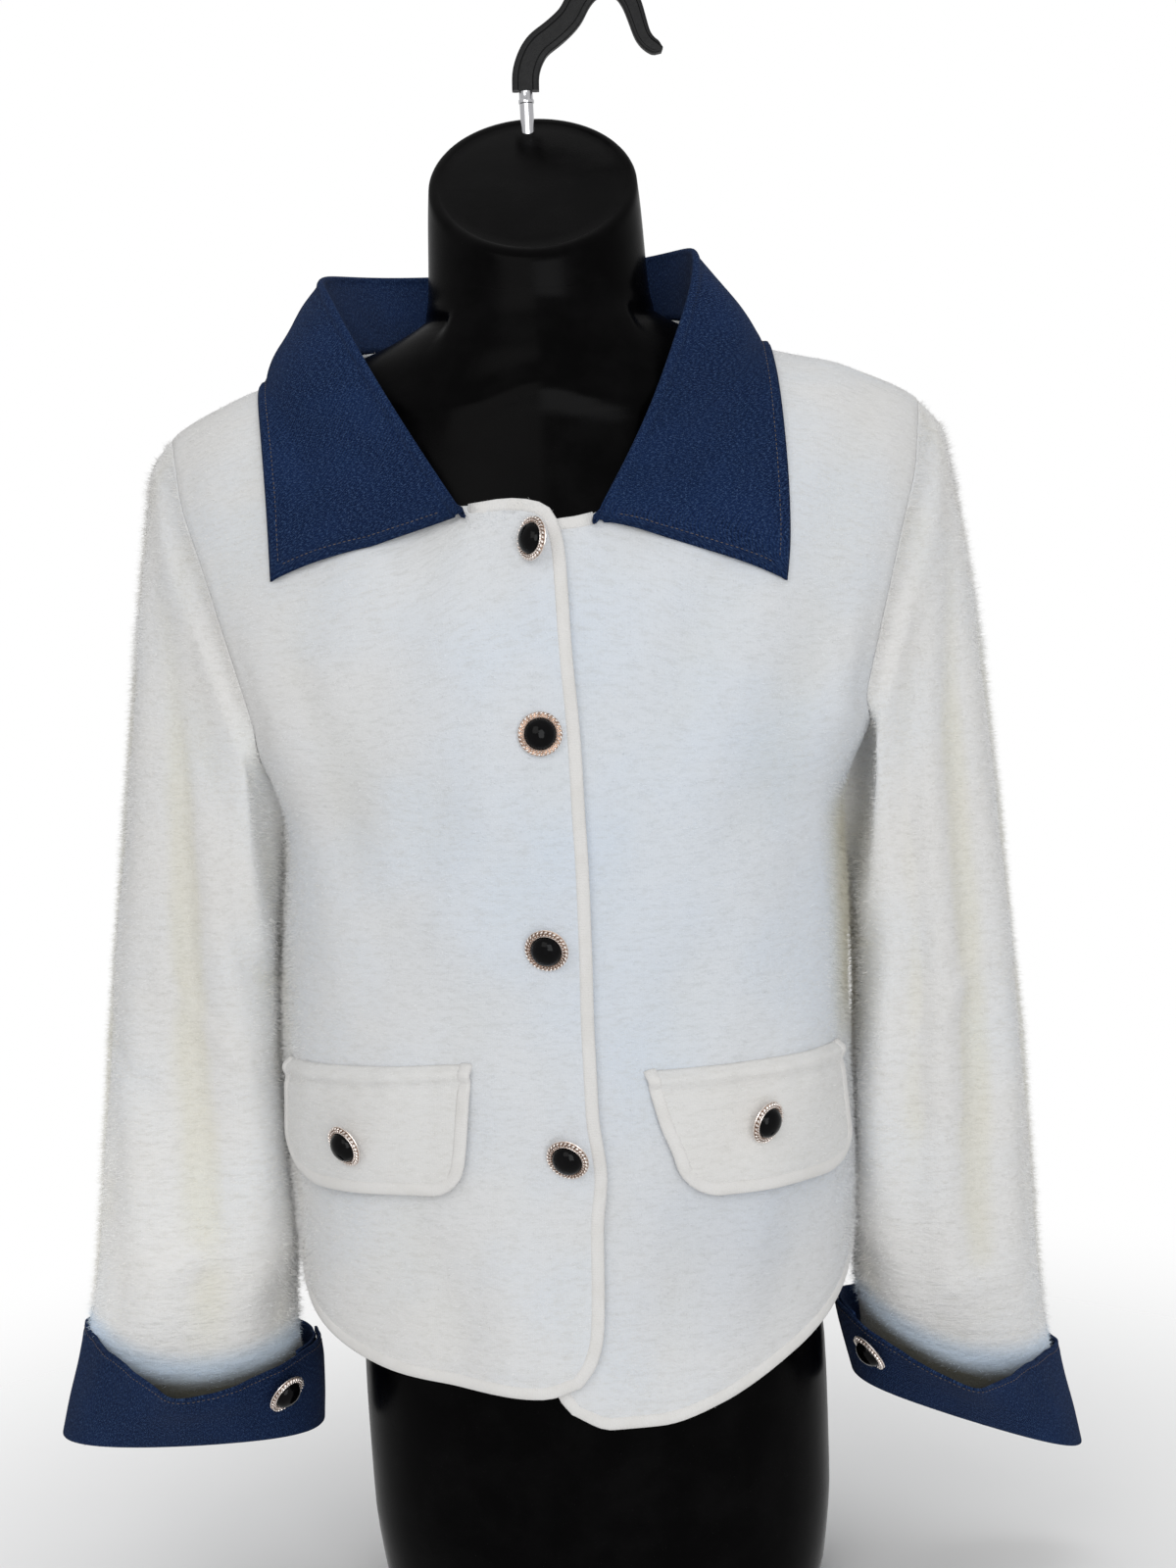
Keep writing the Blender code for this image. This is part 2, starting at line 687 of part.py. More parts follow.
# ---- fronts and back
FRONT_US = spaced((0.0, 0.048, 1.0), (1, 10))
fronts = {}
for side, word in ((RIGHT, "right"), (LEFT, "left")):
    point, (armpit_row, neck_row) = front_panel(side)
    rows = spaced((0.0, 0.020, armpit_row, neck_row, 1 - NARROW, 1.0), (1, 7, 6, 5, 1))
    points = grid_points(point, FRONT_US, rows)
    normals = grid_normals(points, side)
    fronts[side] = {"point": point, "rows": rows, "armpit": armpit_row, "neck": neck_row}
    shell("front_" + word, points, "knit", KNIT, side)
    last_row = max(j for j, row in enumerate(rows) if row < neck_row - 0.004)
    stations = [edge_station(points, normals, (0, j), (1, j)) for j in range(last_row, 1, -1)]
    stations.append(edge_station(points, normals, (0, 1), (1, 1)))
    stations.append(edge_station(points, normals, (0, 0), (1, 1)))
    stations.append(edge_station(points, normals, (1, 0), (1, 1)))
    stations += [edge_station(points, normals, (i, 0), (i, 1)) for i in range(2, len(FRONT_US))]
    binding("binding_front_" + word, stations, KNIT)

back_point, back_shares, back_armpit = back_panel()
BACK_US = spaced((0.0, back_shares[1], back_shares[-2], 1.0), (4, 8, 4))
BACK_VS = spaced((0.0, 0.020, back_armpit, 1 - NARROW, 1.0), (1, 5, 10, 1))
back_points = grid_points(back_point, BACK_US, BACK_VS)
back_normals = grid_normals(back_points, -1)
shell("back", back_points, "knit", KNIT, -1)
binding(
    "binding_back",
    [edge_station(back_points, back_normals, (i, 0), (i, 1)) for i in range(len(BACK_US))],
    KNIT,
)


# ---- sleeves
def fold_height(folds, degrees, along):
    total = 0.0
    for start, end, begin, finish, spread, height in folds:
        if not begin < along < finish:
            continue
        share = (along - begin) / (finish - begin)
        near = start + (end - start) * share
        away = (degrees - near + 180) % 360 - 180
        total += height * math.sin(math.pi * share) ** 0.7 * math.exp(-((away / spread) ** 2))
    return total


def ring_point(table, columns, key, side, degrees, square):
    """A point on a flattened ring between an outer and an inner line; 0 is outer and 90 is front."""
    row = {name: read(table, columns, name, key) for name in columns[1:]}
    outer = Vector((side * row["out_x"], 0, row["out_z"]))
    inner = Vector((side * row["in_x"], 0, row["in_z"]))
    ahead, across = rounded(math.radians(degrees), square)
    depth = row["front"] if ahead > 0 else row["back"]
    point = (outer + inner) / 2 + (outer - inner) / 2 * across
    point.y = row.get("middle", 0.0) - depth * ahead
    point.z -= row.get("front_drop", 0.0) * max(ahead, 0.0) ** 2
    return point


def sleeve_maker(side):
    table = SLEEVE_RIGHT if side == RIGHT else SLEEVE_LEFT
    folds = SLEEVE_FOLDS_RIGHT if side == RIGHT else SLEEVE_FOLDS_LEFT
    front = fronts[side]
    back_edge = 0.0 if side == RIGHT else 1.0

    def hole(degrees):
        if degrees <= 180:
            return front["point"](1.0, front["armpit"] + (1 - front["armpit"]) * (1 - degrees / 180))
        return back_point(back_edge, back_armpit + (1 - back_armpit) * (degrees - 180) / 180)

    def point(degrees, along):
        base = ring_point(table, SLEEVE_COLUMNS, along, side, degrees, SLEEVE_SQUARE)
        centre = ring_point(table, SLEEVE_COLUMNS, along, side, 0, SLEEVE_SQUARE)
        centre = (centre + ring_point(table, SLEEVE_COLUMNS, along, side, 180, SLEEVE_SQUARE)) / 2
        away = base - centre
        base += away.normalized() * fold_height(folds, degrees, along)
        gone = min(1.0, along / 0.30)
        keep = 1 - gone * gone * (3 - 2 * gone)
        if keep > 0:
            start = ring_point(table, SLEEVE_COLUMNS, 0.0, side, degrees, SLEEVE_SQUARE)
            base += (hole(degrees) - start) * keep
        return base

    def leaving(degrees, ahead):
        """The way the cloth crosses the armhole seam: on from the panel above, outward at the armpit."""
        share = min(degrees, 360 - degrees) / 180
        if degrees <= 180:
            v = front["armpit"] + (1 - front["armpit"]) * (1 - share)
            panel = front["point"](1.0, v) - front["point"](0.96, v)
        else:
            v = back_armpit + (1 - back_armpit) * (1 - share)
            panel = back_point(back_edge, v) - back_point(abs(back_edge - 0.03), v)
        much = min(max((0.82 - share) / 0.22, 0.0), 1.0)
        return ahead.normalized().lerp(panel.normalized(), much).normalized()

    return point, leaving


def sleeve_turns(side):
    """Places round the sleeve that meet the rows of the front and back armholes, in degrees."""
    front = fronts[side]
    fore = [180 * (1 - (v - front["armpit"]) / (1 - front["armpit"])) for v in front["rows"]]
    rear = [180 + 180 * (v - back_armpit) / (1 - back_armpit) for v in BACK_VS]
    turns = sorted(d for d in fore if -0.001 < d < 180.001)
    around = turns + [d for d in rear if d > 180.001]
    return [max(d, 0.0) for d in around if d < 0.001 or 4 < d < 356 or d > 359.999]


SLEEVE_VS = (
    0.0, 0.03, 0.065, 0.11, 0.165, 0.23, 0.30, 0.375,
    0.455, 0.54, 0.63, 0.72, 0.80, 0.88, 0.945, 1.0,
)
sleeves = {}
for side, word in ((RIGHT, "right"), (LEFT, "left")):
    tube, leaving = sleeve_maker(side)
    sleeves[side] = tube
    columns = []
    for degrees in sleeve_turns(side):
        if degrees > 359.999:
            columns.append(list(columns[0]))
            continue
        column = []
        for along in SLEEVE_VS:
            spot = tube(degrees, along)
            if along == 0.0:
                seam_run = (tube(min(degrees + 3, 357), 0.0) - tube(max(degrees - 3, 0), 0.0)).normalized()
                ahead = tube(degrees, SLEEVE_VS[1]) - spot
                ahead -= seam_run * ahead.dot(seam_run)
                ahead = leaving(degrees, ahead)
                ahead -= seam_run * ahead.dot(seam_run)
                low = max(0.0, 1 - abs(degrees - 180) / 70)
                column.append(spot + ahead.normalized() * SLEEVE_GAP * (1 + 2.4 * low))
                spot += ahead.normalized() * SLEEVE_TURN
            column.append(spot)
        columns.append(column)
    shell("sleeve_" + word, columns, "knit", KNIT, side, closed=True)


# ---- cuffs
def cuff_maker(side):
    table = CUFF_RIGHT if side == RIGHT else CUFF_LEFT

    def point(degrees, up, out=0.0):
        spot = ring_point(table, CUFF_COLUMNS, up, side, degrees, CUFF_SQUARE)
        middle = ring_point(table, CUFF_COLUMNS, up, side, 0, CUFF_SQUARE)
        middle = (middle + ring_point(table, CUFF_COLUMNS, up, side, 180, CUFF_SQUARE)) / 2
        away = (spot - middle).normalized()
        return spot + away * out

    return point


CUFF_UPS = (0.0, 0.30, 0.65, 1.0)
CUFF_STEPS = 26
cuffs = {}
for side, word in ((RIGHT, "right"), (LEFT, "left")):
    band = cuff_maker(side)
    cuffs[side] = band
    first = CUFF_BACK_END - 360
    columns = []
    for k in range(CUFF_STEPS + 1):
        degrees = first + (CUFF_FRONT_END - first) * k / CUFF_STEPS
        over = max(0.0, min(1.0, (degrees - 110) / 50.0))
        lift = CUFF_LAP * over * over * (3 - 2 * over)
        columns.append([band(degrees % 360, up, lift) for up in CUFF_UPS])
    shell("cuff_" + word, columns, "denim", DENIM, -side)


# ---- collar
def collar_row(at):
    stations = np.linspace(0, 1, len(COLLAR))
    return {
        name: curve_through(stations, [row[k] for row in COLLAR], at) for k, name in enumerate(COLLAR_COLUMNS)
    }


def clear_of_body(spot, out):
    """Pushes a point out until it lies off the jacket's shoulders, fronts and back by out."""
    if spot.z <= ROOF_START:
        return spot
    face = "front" if spot.y < 0 else "back"
    top = ridge(spot.x) + out - ROOF_START
    rise = (spot.z - ROOF_START) / top
    level = roof_level(min(rise, 1.0))
    share = min(abs(spot.x - body("centre", level)) / (body("half", level) + out), 1.0)
    ahead = (1 - share**SQUARE) ** (1 / SQUARE)
    depth = abs(spot.y) / max((body(face, level) + out) * ahead, 0.001)
    size = (rise**ROOF_SQUARE + depth**ROOF_SQUARE) ** (1 / ROOF_SQUARE)
    if size >= 1.0:
        return spot
    return Vector((spot.x, spot.y / size, ROOF_START + (spot.z - ROOF_START) / size))


NECK_PARTS = (0.285, 0.71)


def neck_stations():
    """The collar's stations as share and seam point, each at a row of the neck edge below it."""
    right = fronts[RIGHT]
    left = fronts[LEFT]
    stations = []
    for v in right["rows"]:
        if right["neck"] - 0.001 < v < 1 - NARROW - 0.001:
            share = (v - right["neck"]) / (1 - right["neck"])
            stations.append((NECK_PARTS[0] * share, right["point"](0.0, v)))
    for k, u in enumerate(BACK_US[4:13]):
        spot = back_point(u, 1.0)
        if k == 0:
            spot = (spot + right["point"](0.0, 1.0)) / 2
        if k == 8:
            spot = (spot + left["point"](0.0, 1.0)) / 2
        stations.append((NECK_PARTS[0] + (NECK_PARTS[1] - NECK_PARTS[0]) * k / 8, spot))
    for v in reversed(left["rows"]):
        if left["neck"] - 0.001 < v < 1 - NARROW - 0.001:
            share = (v - left["neck"]) / (1 - left["neck"])
            stations.append((1 - (1 - NECK_PARTS[1]) * share, left["point"](0.0, v)))
    return stations


def collar_point(at, seam, down):
    """down runs 0 at the neck seam, 0.4 at the roll, 1 at the free edge."""
    row = collar_row(at)
    roll = Vector((row["roll_x"], row["roll_y"], row["roll_z"]))
    edge = Vector((row["edge_x"], row["edge_y"], row["edge_z"]))
    flat_out = Vector((edge.x - seam.x, edge.y - seam.y, 0.0))
    flat_out.normalize()
    rise = roll - seam
    seam = seam + (rise.normalized() - flat_out * 0.4) * COLLAR_GAP
    inner_top = roll - flat_out * COLLAR_ROLL
    outer_top = roll + flat_out * COLLAR_ROLL
    drop = Vector((0, 0, min(0.004, rise.length * 0.3)))
    if down <= 0.36:
        share = down / 0.36
        return seam.lerp(inner_top - drop, share)
    if down < 0.40:
        return roll.lerp(inner_top, 0.75)
    if down <= 0.44:
        return roll.lerp(outer_top, 0.75) if down < 0.42 else outer_top - drop
    share = (down - 0.44) / 0.56
    start = outer_top - drop
    spot = start.lerp(edge, share)
    spot += (flat_out + Vector((0, 0, 0.6))) * row["puff"] * math.sin(math.pi * share)
    return clear_of_body(spot, COLLAR_OFF)


COLLAR_DOWNS = (0.0, 0.18, 0.36, 0.39, 0.41, 0.44, 0.62, 0.81, 1.0)
columns = [[collar_point(at, seam, down) for down in COLLAR_DOWNS] for at, seam in neck_stations()]
shell("collar", columns, "denim", DENIM, 1)


# ---- pocket flaps
def flap_maker(side):
    name = {key: value for key, value in zip(FLAP_COLUMNS, (FLAP_RIGHT if side == RIGHT else FLAP_LEFT)[0])}

    def corner(x, z, reach_x, reach_z, turns):
        spots = []
        for degrees in turns:
            a = math.radians(degrees)
            spots.append((x + reach_x * (1 - math.cos(a)), z + reach_z * (1 - math.sin(a))))
        return spots

    in_x = name["in_x"]
    out_x = name["out_x"]
    cin = name["corner_in"]
    cout = name["corner_out"]
    low_x = in_x + name["lean"]
    low_in = [(low_x + cin * 0.29, name["bottom_in"] + cin * 0.29)]
    low_in += corner(low_x, name["bottom_in"], cin, cin, (25, 5))
    low_in += [((in_x + low_x) / 2, (name["top_in"] + name["bottom_in"]) / 2 + 0.006), (in_x, name["top_in"])]
    low_out = [(out_x - cout * 0.29, name["bottom_out"] + cout * 0.29)]
    low_out += corner(out_x, name["bottom_out"], -cout, cout, (25, 5))
    low_out += [(out_x, name["top_out"] - 0.02), (out_x, name["top_out"])]
    bottom = [low_in[0]]
    bottom += corner(low_x, name["bottom_in"], cin, cin, (65, 85))
    bottom += corner(out_x, name["bottom_out"], -cout, cout, (85, 65))
    bottom.append(low_out[0])
    top = [low_in[-1], low_out[-1]]
    chains = []
    for chain in (low_in, low_out, bottom, top):
        chains.append(path([to_surface(side * x, z) for x, z in chain]))
    place = coons(*chains)

    def point(u, v, extra=0.0):
        turn, run = place(u, v)
        out = FLAP_OFF_BOTTOM + (FLAP_OFF_TOP - FLAP_OFF_BOTTOM) * v + extra
        if side == RIGHT:
            flat = on_body(-1, turn, run)
            out += lap_lift(flat.x, flat.z)
        return on_body(-1, turn, run, out)

    return point


FLAP_US = (0.0, 0.085, 0.25, 0.42, 0.58, 0.75, 0.915, 1.0)
FLAP_VS = (0.0, 0.13, 0.42, 0.71, 1.0)
flaps = {}
for side, word in ((RIGHT, "right"), (LEFT, "left")):
    point = flap_maker(side)
    points = grid_points(point, FLAP_US, FLAP_VS)
    normals = grid_normals(points, side)
    flaps[side] = point
    shell("flap_" + word, points, "knit", KNIT, side)
    last = len(FLAP_US) - 1
    stations = [edge_station(points, normals, (0, j), (1, j)) for j in range(len(FLAP_VS) - 1, 0, -1)]
    stations.append(edge_station(points, normals, (0, 0), (1, 1)))
    stations += [edge_station(points, normals, (i, 0), (i, 1)) for i in range(1, last)]
    stations.append(edge_station(points, normals, (last, 0), (last - 1, 1)))
    stations += [edge_station(points, normals, (last, j), (last - 1, j)) for j in range(1, len(FLAP_VS))]
    binding("binding_flap_" + word, stations, KNIT, FLAP_AIR)


# ---- buttons
def turned(name, profile, look, frame):
    """A solid of revolution about the frame's own upright."""
    mesh = bpy.data.meshes.new(name)
    verts = [(r, 0.0, z) for r, z in profile]
    mesh.from_pydata(verts, [(k, k + 1) for k in range(len(verts) - 1)], [])
    made = add_object(name, mesh, look)
    made.matrix_world = frame
    screw = made.modifiers.new("turn", "SCREW")
    screw.axis = "Z"
    screw.steps = BUTTON_SIDES
    screw.render_steps = BUTTON_SIDES
    screw.use_merge_vertices = True
    screw.merge_threshold = 0.00001
    screw.use_smooth_shade = True
    screw.use_normal_calculate = False
    return made


def seat_ease(turn, nod):
    """How far a leaning button stands off so that its low side clears the cloth."""
    lean = math.radians(math.hypot(turn, nod))
    rims = [radius * math.sin(lean) - height * math.cos(lean) for radius, height in RIM[5:]]
    return max(rims)


def button_frame(spot, facing, turn, nod):
    facing = facing.normalized()
    frame = facing.to_track_quat("Z", "Y").to_matrix().to_4x4()
    lean = Matrix.Rotation(math.radians(turn), 4, "Z") @ Matrix.Rotation(math.radians(nod), 4, "X")
    frame = lean @ frame
    frame.translation = spot
    return frame


def add_button(name, spot, facing, turn, nod):
    frame = button_frame(spot, facing, turn, nod)
    turned("button_" + name + "_rim", RIM, "button_metal", frame)
    turned("button_" + name + "_dome", DOME, "button_black", frame)


def lifted(face, across, height, out):
    turn, run = to_surface(across, height)
    return on_body(face, turn, run, out)


def body_normal(across, height, out):
    here = lifted(-1, across, height, out)
    side = lifted(-1, across + 0.004, height, out) - here
    up = lifted(-1, across, height + 0.004, out) - here
    return side.cross(up).normalized()


for k, (across, height, turn, nod, seat) in enumerate(FRONT_BUTTONS):
    facing = body_normal(across, height, LAP)
    spot = lifted(-1, across, height, LAP) + facing * (seat_ease(turn, nod) + seat)
    add_button(f"front_{k + 1}", spot, facing, turn, nod)

for (across, height, turn, nod, off), word in zip(FLAP_BUTTONS, ("flap_right", "flap_left")):
    facing = body_normal(across, height, FLAP_OFF_BOTTOM)
    spot = lifted(-1, across, height, off) + facing * seat_ease(turn, nod)
    add_button(word, spot, facing, turn, nod)

for side, word, (degrees, share, seat) in (
    (RIGHT, "cuff_right", CUFF_BUTTONS[0]),
    (LEFT, "cuff_left", CUFF_BUTTONS[1]),
):
    band = cuffs[side]
    here = band(degrees, share, CUFF_LAP)
    around = band(degrees + 4, share, CUFF_LAP) - band(degrees - 4, share, CUFF_LAP)
    up = band(degrees, share + 0.1, CUFF_LAP) - band(degrees, share - 0.1, CUFF_LAP)
    facing = (around.cross(up) * -side).normalized()
    add_button(word, here + facing * seat, facing, 0, 0)


# ---- dress form
def cloth_reach(angle, height):
    """How far the jacket's outer surface stands from the upright middle in one direction at one level."""
    low = 0.0
    high = 0.30
    face = "front" if math.cos(angle) > 0 else "back"
    for _ in range(26):
        middle = (low + high) / 2
        x = middle * math.sin(angle)
        rise = max(0.0, (height - ROOF_START) / (ridge(x) - ROOF_START))
        level = roof_level(rise) if height > ROOF_START else height
        share = abs(x - body("centre", level)) / body("half", level)
        if rise >= 1.0 or share >= 1.0:
            high = middle
            continue
        roof = (1 - rise**ROOF_SQUARE) ** (1 / ROOF_SQUARE)
        deep = body(face, level) * roof * (1 - share**SQUARE) ** (1 / SQUARE)
        if abs(middle * math.cos(angle)) < deep:
            low = middle
        else:
            high = middle
    return low


def form_radius(angle, height):
    """How far the form reaches from its upright middle in one direction at one level."""
    x = math.sin(angle)
    y = -math.cos(angle)
    column = "front" if y < 0 else "back"
    half = read(FORM, FORM_COLUMNS, "half", height)
    deep = read(FORM, FORM_COLUMNS, column, height)

    def inside(r):
        across = abs(r * x)
        rise = max(0.0, (height - ROOF_START) / (ridge(across) - FORM_BELOW_CLOTH - ROOF_START))
        if rise >= 1.0:
            return False
        roof = (1 - rise**ROOF_SQUARE) ** (1 / ROOF_SQUARE)
        share = (across / half) ** FORM_SQUARE + (abs(r * y) / (deep * roof)) ** FORM_SQUARE
        return share < 1.0

    low = 0.0
    high = 0.30
    for _ in range(30):
        middle = (low + high) / 2
        if inside(middle):
            low = middle
        else:
            high = middle
    torso = low
    if height < 0.57:
        return torso
    half = read(NECK, NECK_COLUMNS, "half", height)
    deep = read(NECK, NECK_COLUMNS, column, height)
    neck = 1 / math.sqrt((x / half) ** 2 + (y / deep) ** 2)
    blend = 0.008 + 0.014 * max(0.0, -y)
    near = max(0.0, blend - abs(torso - neck))
    reach = max(torso, neck) + near * near / (4 * blend)
    if height < 0.716 and y > -0.6:
        reach = min(reach, cloth_reach(angle, height) - (0.0112 if height > 0.690 else 0.0055))
    return reach


FORM_LEVELS = (
    0.0, 0.05, 0.11, 0.17, 0.23, 0.29, 0.35, 0.41, 0.46, 0.51, 0.56, 0.60, 0.63, 0.65,
    0.664, 0.674, 0.682, 0.689, 0.697, 0.706, 0.718, 0.735,
)
form_rings = []
for level in FORM_LEVELS:
    ring = []
    for k in range(FORM_SIDES + 1):
        angle = 2 * math.pi * (k % FORM_SIDES) / FORM_SIDES
        reach = form_radius(angle, level)
        x = reach * math.sin(angle)
        y = -reach * math.cos(angle)
        lean = max(0.0, (level - NECK_LEAN_START) / (CAP_MIDDLE - NECK_LEAN_START)) ** 1.5
        ring.append(Vector((x, y, level + lean * CAP_SLOPE * y * 0.9)))
    form_rings.append(ring)
for level, lean, size in ((0.757, 0.74, 1.0), (0.775, 0.93, 1.0)):
    ring = []
    for k in range(FORM_SIDES + 1):
        angle = 2 * math.pi * (k % FORM_SIDES) / FORM_SIDES
        reach = form_radius(angle, level)
        x = reach * math.sin(angle)
        y = -reach * math.cos(angle)
        ring.append(Vector((x, y, level + lean * CAP_SLOPE * y)))
    form_rings.append(ring)
for size, up in ((0.985, 0.0), (0.955, CAP_ROUND * 0.85), (0.90, CAP_ROUND * 1.05), (0.45, CAP_ROUND * 1.5)):
    ring = []
    for k in range(FORM_SIDES + 1):
        angle = 2 * math.pi * (k % FORM_SIDES) / FORM_SIDES
        reach = form_radius(angle, CAP_MIDDLE) * size
        x = reach * math.sin(angle)
        y = -reach * math.cos(angle)
        ring.append(Vector((x, y, CAP_MIDDLE + CAP_SLOPE * y + up)))
    form_rings.append(ring)
form_mesh = grid_mesh("dress_form", rings_to_columns(form_rings), closed=True, caps=True)
form = add_object("dress_form", form_mesh, "form_plastic")

pin_seat = CAP_MIDDLE + CAP_SLOPE * PIN_BACK
bpy.ops.mesh.primitive_cylinder_add(
    vertices=20,
    radius=PIN_RADIUS + 0.0003,
    depth=0.030,
    location=(-0.0015, PIN_BACK, pin_seat - PIN_SINK + 0.015),
)
hole = bpy.context.object
hole.name = "pin_hole_cutter"
for owner in list(hole.users_collection):
    owner.objects.unlink(hole)
CUTTERS.objects.link(hole)
hole.hide_render = True
hole.display_type = "WIRE"
cut = form.modifiers.new("pin_hole", "BOOLEAN")
cut.operation = "DIFFERENCE"
cut.solver = "EXACT"
cut.object = hole

# ---- pin and hook
pin_bottom = pin_seat - PIN_SINK + 0.0003
bpy.ops.mesh.primitive_cylinder_add(
    vertices=20,
    radius=PIN_RADIUS,
    depth=PIN_TOP - pin_bottom,
    location=(-0.0015, PIN_BACK, (PIN_TOP + pin_bottom) / 2),
)
pin = bpy.context.object
pin.name = "hook_pin"
for owner in list(pin.users_collection):
    owner.objects.unlink(pin)
JACKET.objects.link(pin)
pin.data.materials.append(material("pin_steel"))
for face in pin.data.polygons:
    face.use_smooth = len(face.vertices) == 4

spine = np.array([row[:2] for row in HOOK])
widths = [row[2] for row in HOOK]
along = np.gradient(spine, axis=0)
along /= np.linalg.norm(along, axis=1)[:, None]
sideways = np.stack((-along[:, 1], along[:, 0]), axis=1)
outline = [tuple(spine[k] + sideways[k] * widths[k] / 2) for k in range(len(HOOK))]
outline += [tuple(spine[k] - sideways[k] * widths[k] / 2) for k in range(len(HOOK) - 1, -1, -1)]
drawn = bpy.data.curves.new("hook", "CURVE")
drawn.dimensions = "2D"
drawn.fill_mode = "BOTH"
drawn.extrude = HOOK_THICK / 2
drawn.render_resolution_u = 0
line = drawn.splines.new("POLY")
line.points.add(len(outline) - 1)
for knot, (x, z) in zip(line.points, outline):
    knot.co = (x, z, 0.0, 1.0)
line.use_cyclic_u = True
hook = bpy.data.objects.new("hook", drawn)
JACKET.objects.link(hook)
drawn.materials.append(material("hook_plastic"))
hook.matrix_world = Matrix.Translation((0, PIN_BACK, 0)) @ Matrix.Rotation(math.pi / 2, 4, "X")
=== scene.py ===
import math

import bmesh
import bpy
import numpy as np
from mathutils import Matrix, Vector


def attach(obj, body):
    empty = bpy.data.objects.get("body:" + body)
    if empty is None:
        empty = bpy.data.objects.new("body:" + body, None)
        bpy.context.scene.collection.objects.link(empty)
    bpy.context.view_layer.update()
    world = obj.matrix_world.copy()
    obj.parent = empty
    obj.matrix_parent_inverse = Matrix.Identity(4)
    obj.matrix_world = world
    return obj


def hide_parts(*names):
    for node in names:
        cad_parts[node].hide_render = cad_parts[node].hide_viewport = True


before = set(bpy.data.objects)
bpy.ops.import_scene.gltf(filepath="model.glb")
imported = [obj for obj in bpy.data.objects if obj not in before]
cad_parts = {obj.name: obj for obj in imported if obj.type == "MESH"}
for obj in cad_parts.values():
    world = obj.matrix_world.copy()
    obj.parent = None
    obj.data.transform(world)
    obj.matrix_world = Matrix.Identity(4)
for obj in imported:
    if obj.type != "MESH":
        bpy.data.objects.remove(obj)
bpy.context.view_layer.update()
print("frame loaded with", len(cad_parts), "nodes")

right, left = -1, 1  # the wearer's sides, as signs of x
sideWord = {right: "Right", left: "Left"}
bothSides = tuple(sideWord.items())
quarterTurn = math.pi / 2
perTurn = 0.155  # metres round the body for each radian
pieces = {}


# camera, floor and light
viewpoint = {
    "place": (0.0128, -1.3, 0.545),
    "pitchDown": 4.0,
    "roll": 3.05,
    "lens": 53.55,
    "sensor": 36.0,
}


def addCamera(setup):
    pitch = math.radians(setup["pitchDown"])
    ahead = Vector((0, math.cos(pitch), -math.sin(pitch)))
    upward = Vector((0, math.sin(pitch), math.cos(pitch)))
    turnMatrix = Matrix((ahead.cross(upward), upward, -ahead)).transposed().to_4x4()
    rollMatrix = Matrix.Rotation(-math.radians(setup["roll"]), 4, "Z")
    cameraData = bpy.data.cameras.new("camera")
    cameraData.lens = setup["lens"]
    cameraData.sensor_width = setup["sensor"]
    cameraData.sensor_fit = "AUTO"
    cameraData.clip_start = 0.05
    made = bpy.data.objects.new("camera", cameraData)
    made.matrix_world = Matrix.Translation(setup["place"]) @ turnMatrix @ rollMatrix
    bpy.context.scene.collection.objects.link(made)
    bpy.context.scene.camera = made


addCamera(viewpoint)

studio = {
    "roomColour": (1.0, 1.0, 1.0),
    "roomLight": 0.46,
    "roomGloss": 0.55,
    "lights": (
        # name, place, aim, width, height, watts, colour
        ("keyLight", (-0.8, -2.1, 1.6), (0.0, 0.0, 0.45), 1.3, 1.6, 9.5, (1.0, 0.99, 0.97)),
        ("fillLight", (0.45, -2.4, 0.7), (0.0, 0.0, 0.4), 1.2, 1.8, 20.0, (0.97, 0.985, 1.0)),
        ("topLight", (0.1, 0.2, 2.3), (0.0, 0.0, 0.5), 1.6, 1.2, 7.0, (0.95, 0.975, 1.0)),
        ("rearLight", (0.3, 2.4, 1.2), (0.0, 0.0, 0.5), 1.8, 1.4, 10.0, (1.0, 1.0, 1.0)),
    ),
    "floorRadius": 1.1,
}


def addStudio(setup):
    scene = bpy.context.scene
    scene.view_settings.view_transform = "Standard"
    room = bpy.data.worlds.new("room")
    scene.world = room
    room.use_nodes = True
    nodes, links = room.node_tree.nodes, room.node_tree.links
    backdrop = nodes["Background"]
    backdrop.inputs["Color"].default_value = (*setup["roomColour"], 1)
    rays = nodes.new("ShaderNodeLightPath")  # gloss sees the room at a strength of its own, apart from the cloth
    glossMix = nodes.new("ShaderNodeMix")
    glossMix.inputs[2].default_value = setup["roomLight"]
    glossMix.inputs[3].default_value = setup["roomGloss"]
    links.new(rays.outputs["Is Glossy Ray"], glossMix.inputs[0])
    cameraMix = nodes.new("ShaderNodeMix")
    cameraMix.inputs[3].default_value = 1.0
    links.new(rays.outputs["Is Camera Ray"], cameraMix.inputs[0])
    links.new(glossMix.outputs[0], cameraMix.inputs[2])
    links.new(cameraMix.outputs[0], backdrop.inputs["Strength"])
    for name, place, aim, width, height, watts, colour in setup["lights"]:
        lampData = bpy.data.lights.new(name, "AREA")
        lampData.shape = "RECTANGLE"
        lampData.size = width
        lampData.size_y = height
        lampData.energy = watts
        lampData.color = colour
        lamp = bpy.data.objects.new(name, lampData)
        lamp.location = place
        lamp.rotation_mode = "QUATERNION"
        lamp.rotation_quaternion = (Vector(aim) - Vector(place)).to_track_quat("-Z", "Y")
        lamp.visible_glossy = name in ("keyLight", "fillLight")
        scene.collection.objects.link(lamp)
    mesh = bmesh.new()
    bmesh.ops.create_circle(mesh, cap_ends=True, segments=96, radius=setup["floorRadius"])
    floorData = bpy.data.meshes.new("floor")
    mesh.to_mesh(floorData)
    mesh.free()
    floor = bpy.data.objects.new("floor", floorData)
    floor.visible_glossy = False
    scene.collection.objects.link(floor)
    return floor


floor = addStudio(studio)
print("camera, floor and light set")


